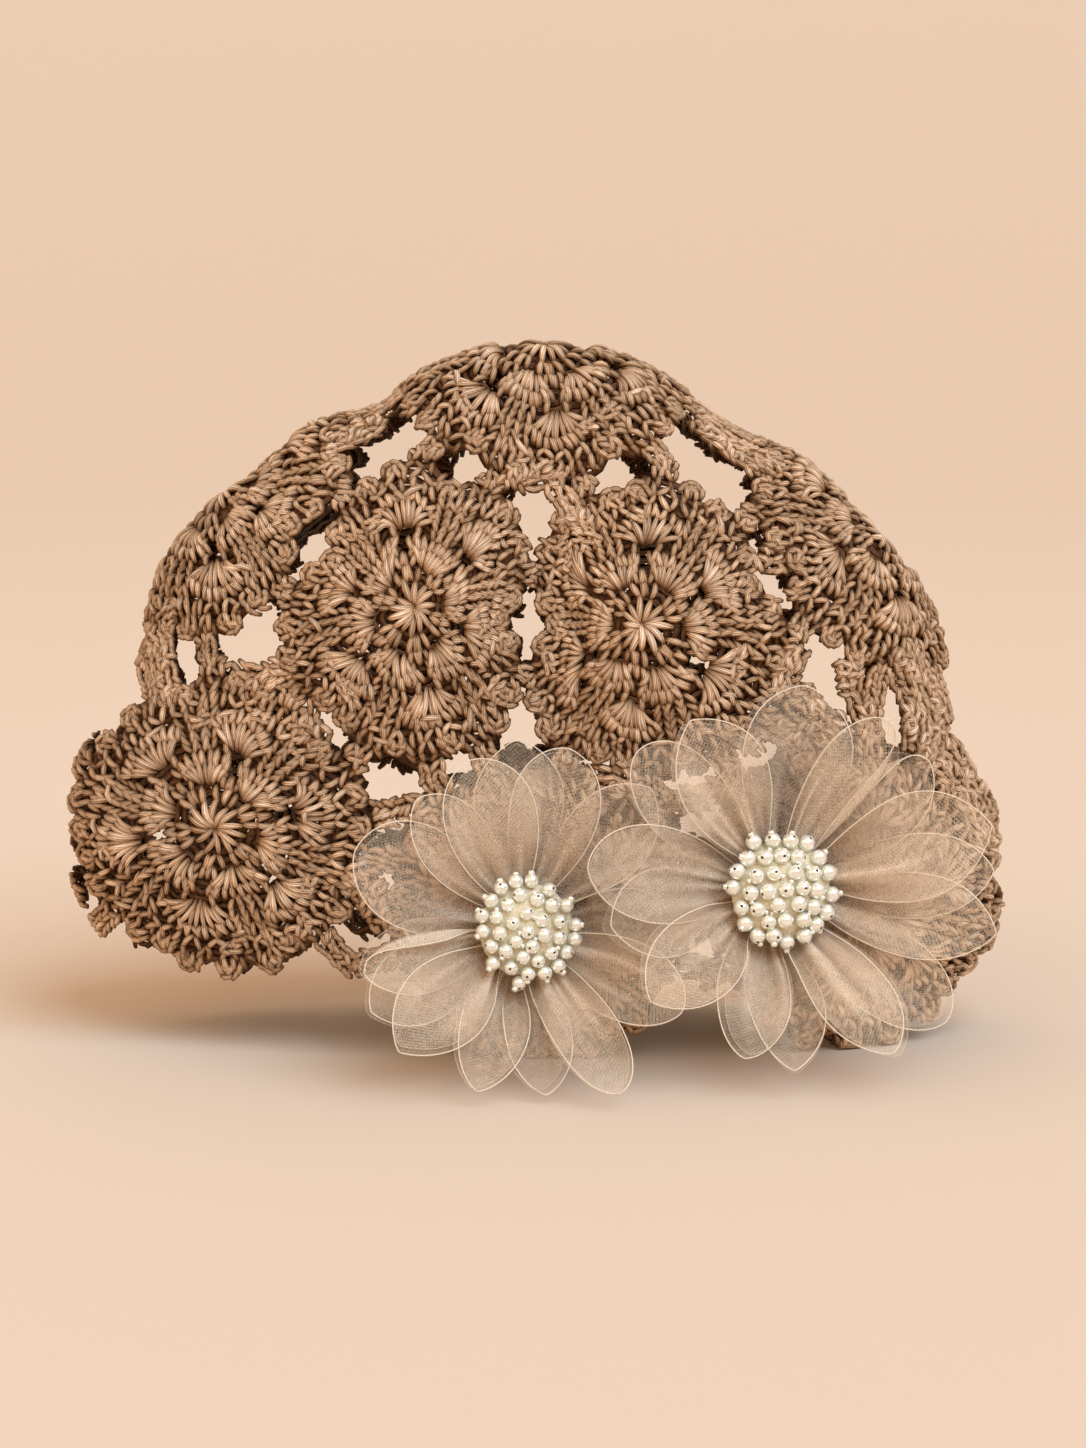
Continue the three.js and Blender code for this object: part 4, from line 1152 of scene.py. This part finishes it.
def pearlMaterials():
    lustre = {
        "Metallic": 0.55, "Roughness": 0.22, "Specular IOR Level": 0.9, "Coat Weight": 1.0,
        "Coat Roughness": 0.04, "Coat IOR": 1.7, "Sheen Weight": 0.5, "Sheen Roughness": 0.25,
        "Sheen Tint": (1.0, 0.97, 0.88, 1),
    }
    pearly, tree, shader = shaderFor("pearl", lustre)
    cloud = noise(tree, node(tree, "TexCoord", out="Object"), 260.0, 2.0)
    body = ramp(tree, cloud, [(0.3, (0.87, 0.88, 0.76)), (0.7, (0.98, 1.0, 0.95))])
    tree.links.new(body, shader.inputs["Base Color"])
    # the faces inside each drill hole are painted dark brown: painted shade in the hole
    hole = shaderFor("drill_hole_painted_shade", {"Base Color": (0.10, 0.055, 0.03, 1), "Roughness": 0.8})[0]
    pad, tree, shader = shaderFor("heart_pad", {"Roughness": 0.85, "Sheen Weight": 0.2})
    weave = noise(tree, node(tree, "TexCoord", out="Object"), 1400.0, 3.0)
    tone = ramp(tree, weave, [(0.3, (0.60, 0.50, 0.32)), (0.7, (0.86, 0.77, 0.58))])
    tree.links.new(tone, shader.inputs["Base Color"])
    roughen(tree, shader, weave, 0.4, 0.0003)
    return [pearly, hole, pad]


# One bead, shaped once: a sphere with a drill hole pushed into each of its ends.
def beadModel(name, segments, rings, holeRadius, stretch, materials):
    radius = millimetre
    bpy.ops.object.select_all(action="DESELECT")
    bpy.ops.mesh.primitive_uv_sphere_add(segments=segments, ring_count=rings, radius=radius)
    bead = bpy.context.object
    bead.name = name
    mesh = bead.data
    bpy.ops.object.mode_set(mode="EDIT")
    for end in (1, -1):
        bpy.ops.mesh.select_mode(type="FACE")
        bpy.ops.mesh.select_all(action="DESELECT")
        bpy.ops.object.mode_set(mode="OBJECT")
        for face in mesh.polygons:
            face.select = len(face.vertices) == 3 and face.center.z * end > 0
        bpy.ops.object.mode_set(mode="EDIT")
        ringRadius = radius * math.sin(math.pi / rings)
        bpy.ops.mesh.inset(thickness=ringRadius * (1 - holeRadius / ringRadius) * 0.95)
        bpy.ops.mesh.extrude_region_move(TRANSFORM_OT_translate={"value": (0, 0, -end * radius * 0.3)})
    bpy.ops.object.mode_set(mode="OBJECT")
    bpy.ops.object.shade_smooth()
    for material in materials:
        mesh.materials.append(material)
    # faces inside the holes take the painted shade material
    for face in mesh.polygons:
        inHole = math.hypot(face.center.x, face.center.y) < holeRadius * 1.02
        face.material_index = 1 if inHole and abs(face.center.z) < radius * 0.985 else 0
    for vertex in mesh.vertices:
        vertex.co.z *= stretch
    return bead


# Copies of one model joined into a single mesh, each turned its own way. Its faces are kept by their
# number of corners and their material.
def strewModel(model, spots, first):
    base = np.array([v.co[:] for v in model.data.vertices]) * 1000
    faces = {}
    for face in model.data.polygons:
        faces.setdefault((len(face.vertices), face.material_index), []).append(list(face.vertices))
    points, grouped = [], {key: [] for key in faces}
    for k, (place, turn, size) in enumerate(spots):
        points.append(base * size @ turn.T + place)
        for key, rows in faces.items():
            grouped[key].append(np.array(rows) + k * len(base) + first)
    return np.concatenate(points), [(np.concatenate(rows), key[1]) for key, rows in grouped.items()]


def turnTo(direction, spin):
    z = unit(np.array(direction, float))
    x = unit(np.cross((0.3, 1.0, 0.2), z))
    y = np.cross(z, x)
    return np.stack([x * math.cos(spin) + y * math.sin(spin), y * math.cos(spin) - x * math.sin(spin), z], 1)


# Where each pearl and each seed bead of a heart lies, how it is turned and how large it is.
def strewnSpots(flowerName, dice):
    pearls, seeds = [], []
    radius = flowers[flowerName]["pearl"]
    for across, up in pearlSpots[flowerName]:
        away = math.hypot(across, up)
        domed = heart["dome"] * (1 - (away / heart["spread"]) ** 2)
        place = np.array([across, up, heart["seat"] + domed + dice.normal(0, 0.35)])
        lean = unit(np.array([across * 0.09, up * 0.09, 1.0]) + dice.normal(0, 0.5, 3))
        pearls.append((place, turnTo(lean, dice.uniform(0, fullTurn)), radius * dice.uniform(0.96, 1.04)))
        outward = unit(np.array([across, up, 0.2 * away + 0.1]))
        if away > heart["outerFrom"] and dice.uniform() < 0.8:
            side = unit(outward + dice.normal(0, 0.3, 3))
            away, sizes = radius + heart["seed"] * 0.15, (0.95, 1.2)
        elif dice.uniform() < 0.45:
            side = unit(np.append(dice.normal(0, 1, 2), 0.3))
            away, sizes = radius + 0.3, (0.75, 0.95)
        else:
            continue
        seeds.append((place + side * away, turnTo(side, 0.0), heart["seed"] * dice.uniform(*sizes)))
    return pearls, seeds


# The pad: a dome over a short stem, from one ring shaped by extruding.
def padModel(size):
    foot, seat, pad = heart["foot"], heart["seat"], heart["pad"]
    radius = heart["stem"] * size * millimetre
    bpy.ops.object.select_all(action="DESELECT")
    bpy.ops.mesh.primitive_circle_add(
        vertices=heart["steps"], radius=radius, fill_type="TRIFAN", location=(0, 0, foot * millimetre)
    )
    bpy.ops.object.transform_apply(location=True)
    model = bpy.context.object
    selectEdges(model.data, lambda place: math.hypot(place.x, place.y) > radius / 2)
    profile = [(heart["stem"], foot), (heart["stem"], seat - heart["undercut"])]
    profile += [(pad, seat - 1.2), (pad + 0.6, seat - 0.2)]
    for share in heart["domeRings"]:
        profile.append((pad * share + 0.4, seat + (heart["dome"] - 0.6) * (1 - (share / 0.99) ** 2)))
    extrudeRing([(reach * millimetre, height * millimetre) for reach, height in profile])
    bpy.ops.mesh.edge_face_add()
    bpy.ops.mesh.select_all(action="SELECT")
    bpy.ops.mesh.normals_make_consistent(inside=False)
    bpy.ops.object.mode_set(mode="OBJECT")
    for face in model.data.polygons:
        face.material_index = 2
    return model


def buildHearts():
    materials = pearlMaterials()
    hole = heart["hole"] * millimetre
    pearl = beadModel("pearl", 16, 11, hole / 1.8, 1.0, materials[:2])
    seed = beadModel("seed", 10, 6, hole, 0.85, materials[:2])
    dice = np.random.default_rng(23)
    for flowerName, flower in flowers.items():
        turn, middle = flowerFrame(flower)
        pearls, seeds = strewnSpots(flowerName, dice)
        pad = padModel(flower["heart"])
        points, grouped = [], []
        for model, spots in ((pad, [(0, np.eye(3), 1)]), (pearl, pearls), (seed, seeds)):
            placed, rows = strewModel(model, spots, sum(len(p) for p in points))
            points.append(placed)
            grouped += rows
        bpy.data.objects.remove(pad)
        piece = meshPiece(
            flowerName + "_pearls", np.concatenate(points) @ turn.T + middle, [rows for rows, _ in grouped],
            materials=materials, which=np.concatenate([np.full(len(rows), which) for rows, which in grouped]),
        )
        dress(piece, flowerName + "_pearl_heart")
    bpy.data.objects.remove(pearl)
    bpy.data.objects.remove(seed)


buildHearts()
print("the hearts are beaded")

print("the hat is dressed")
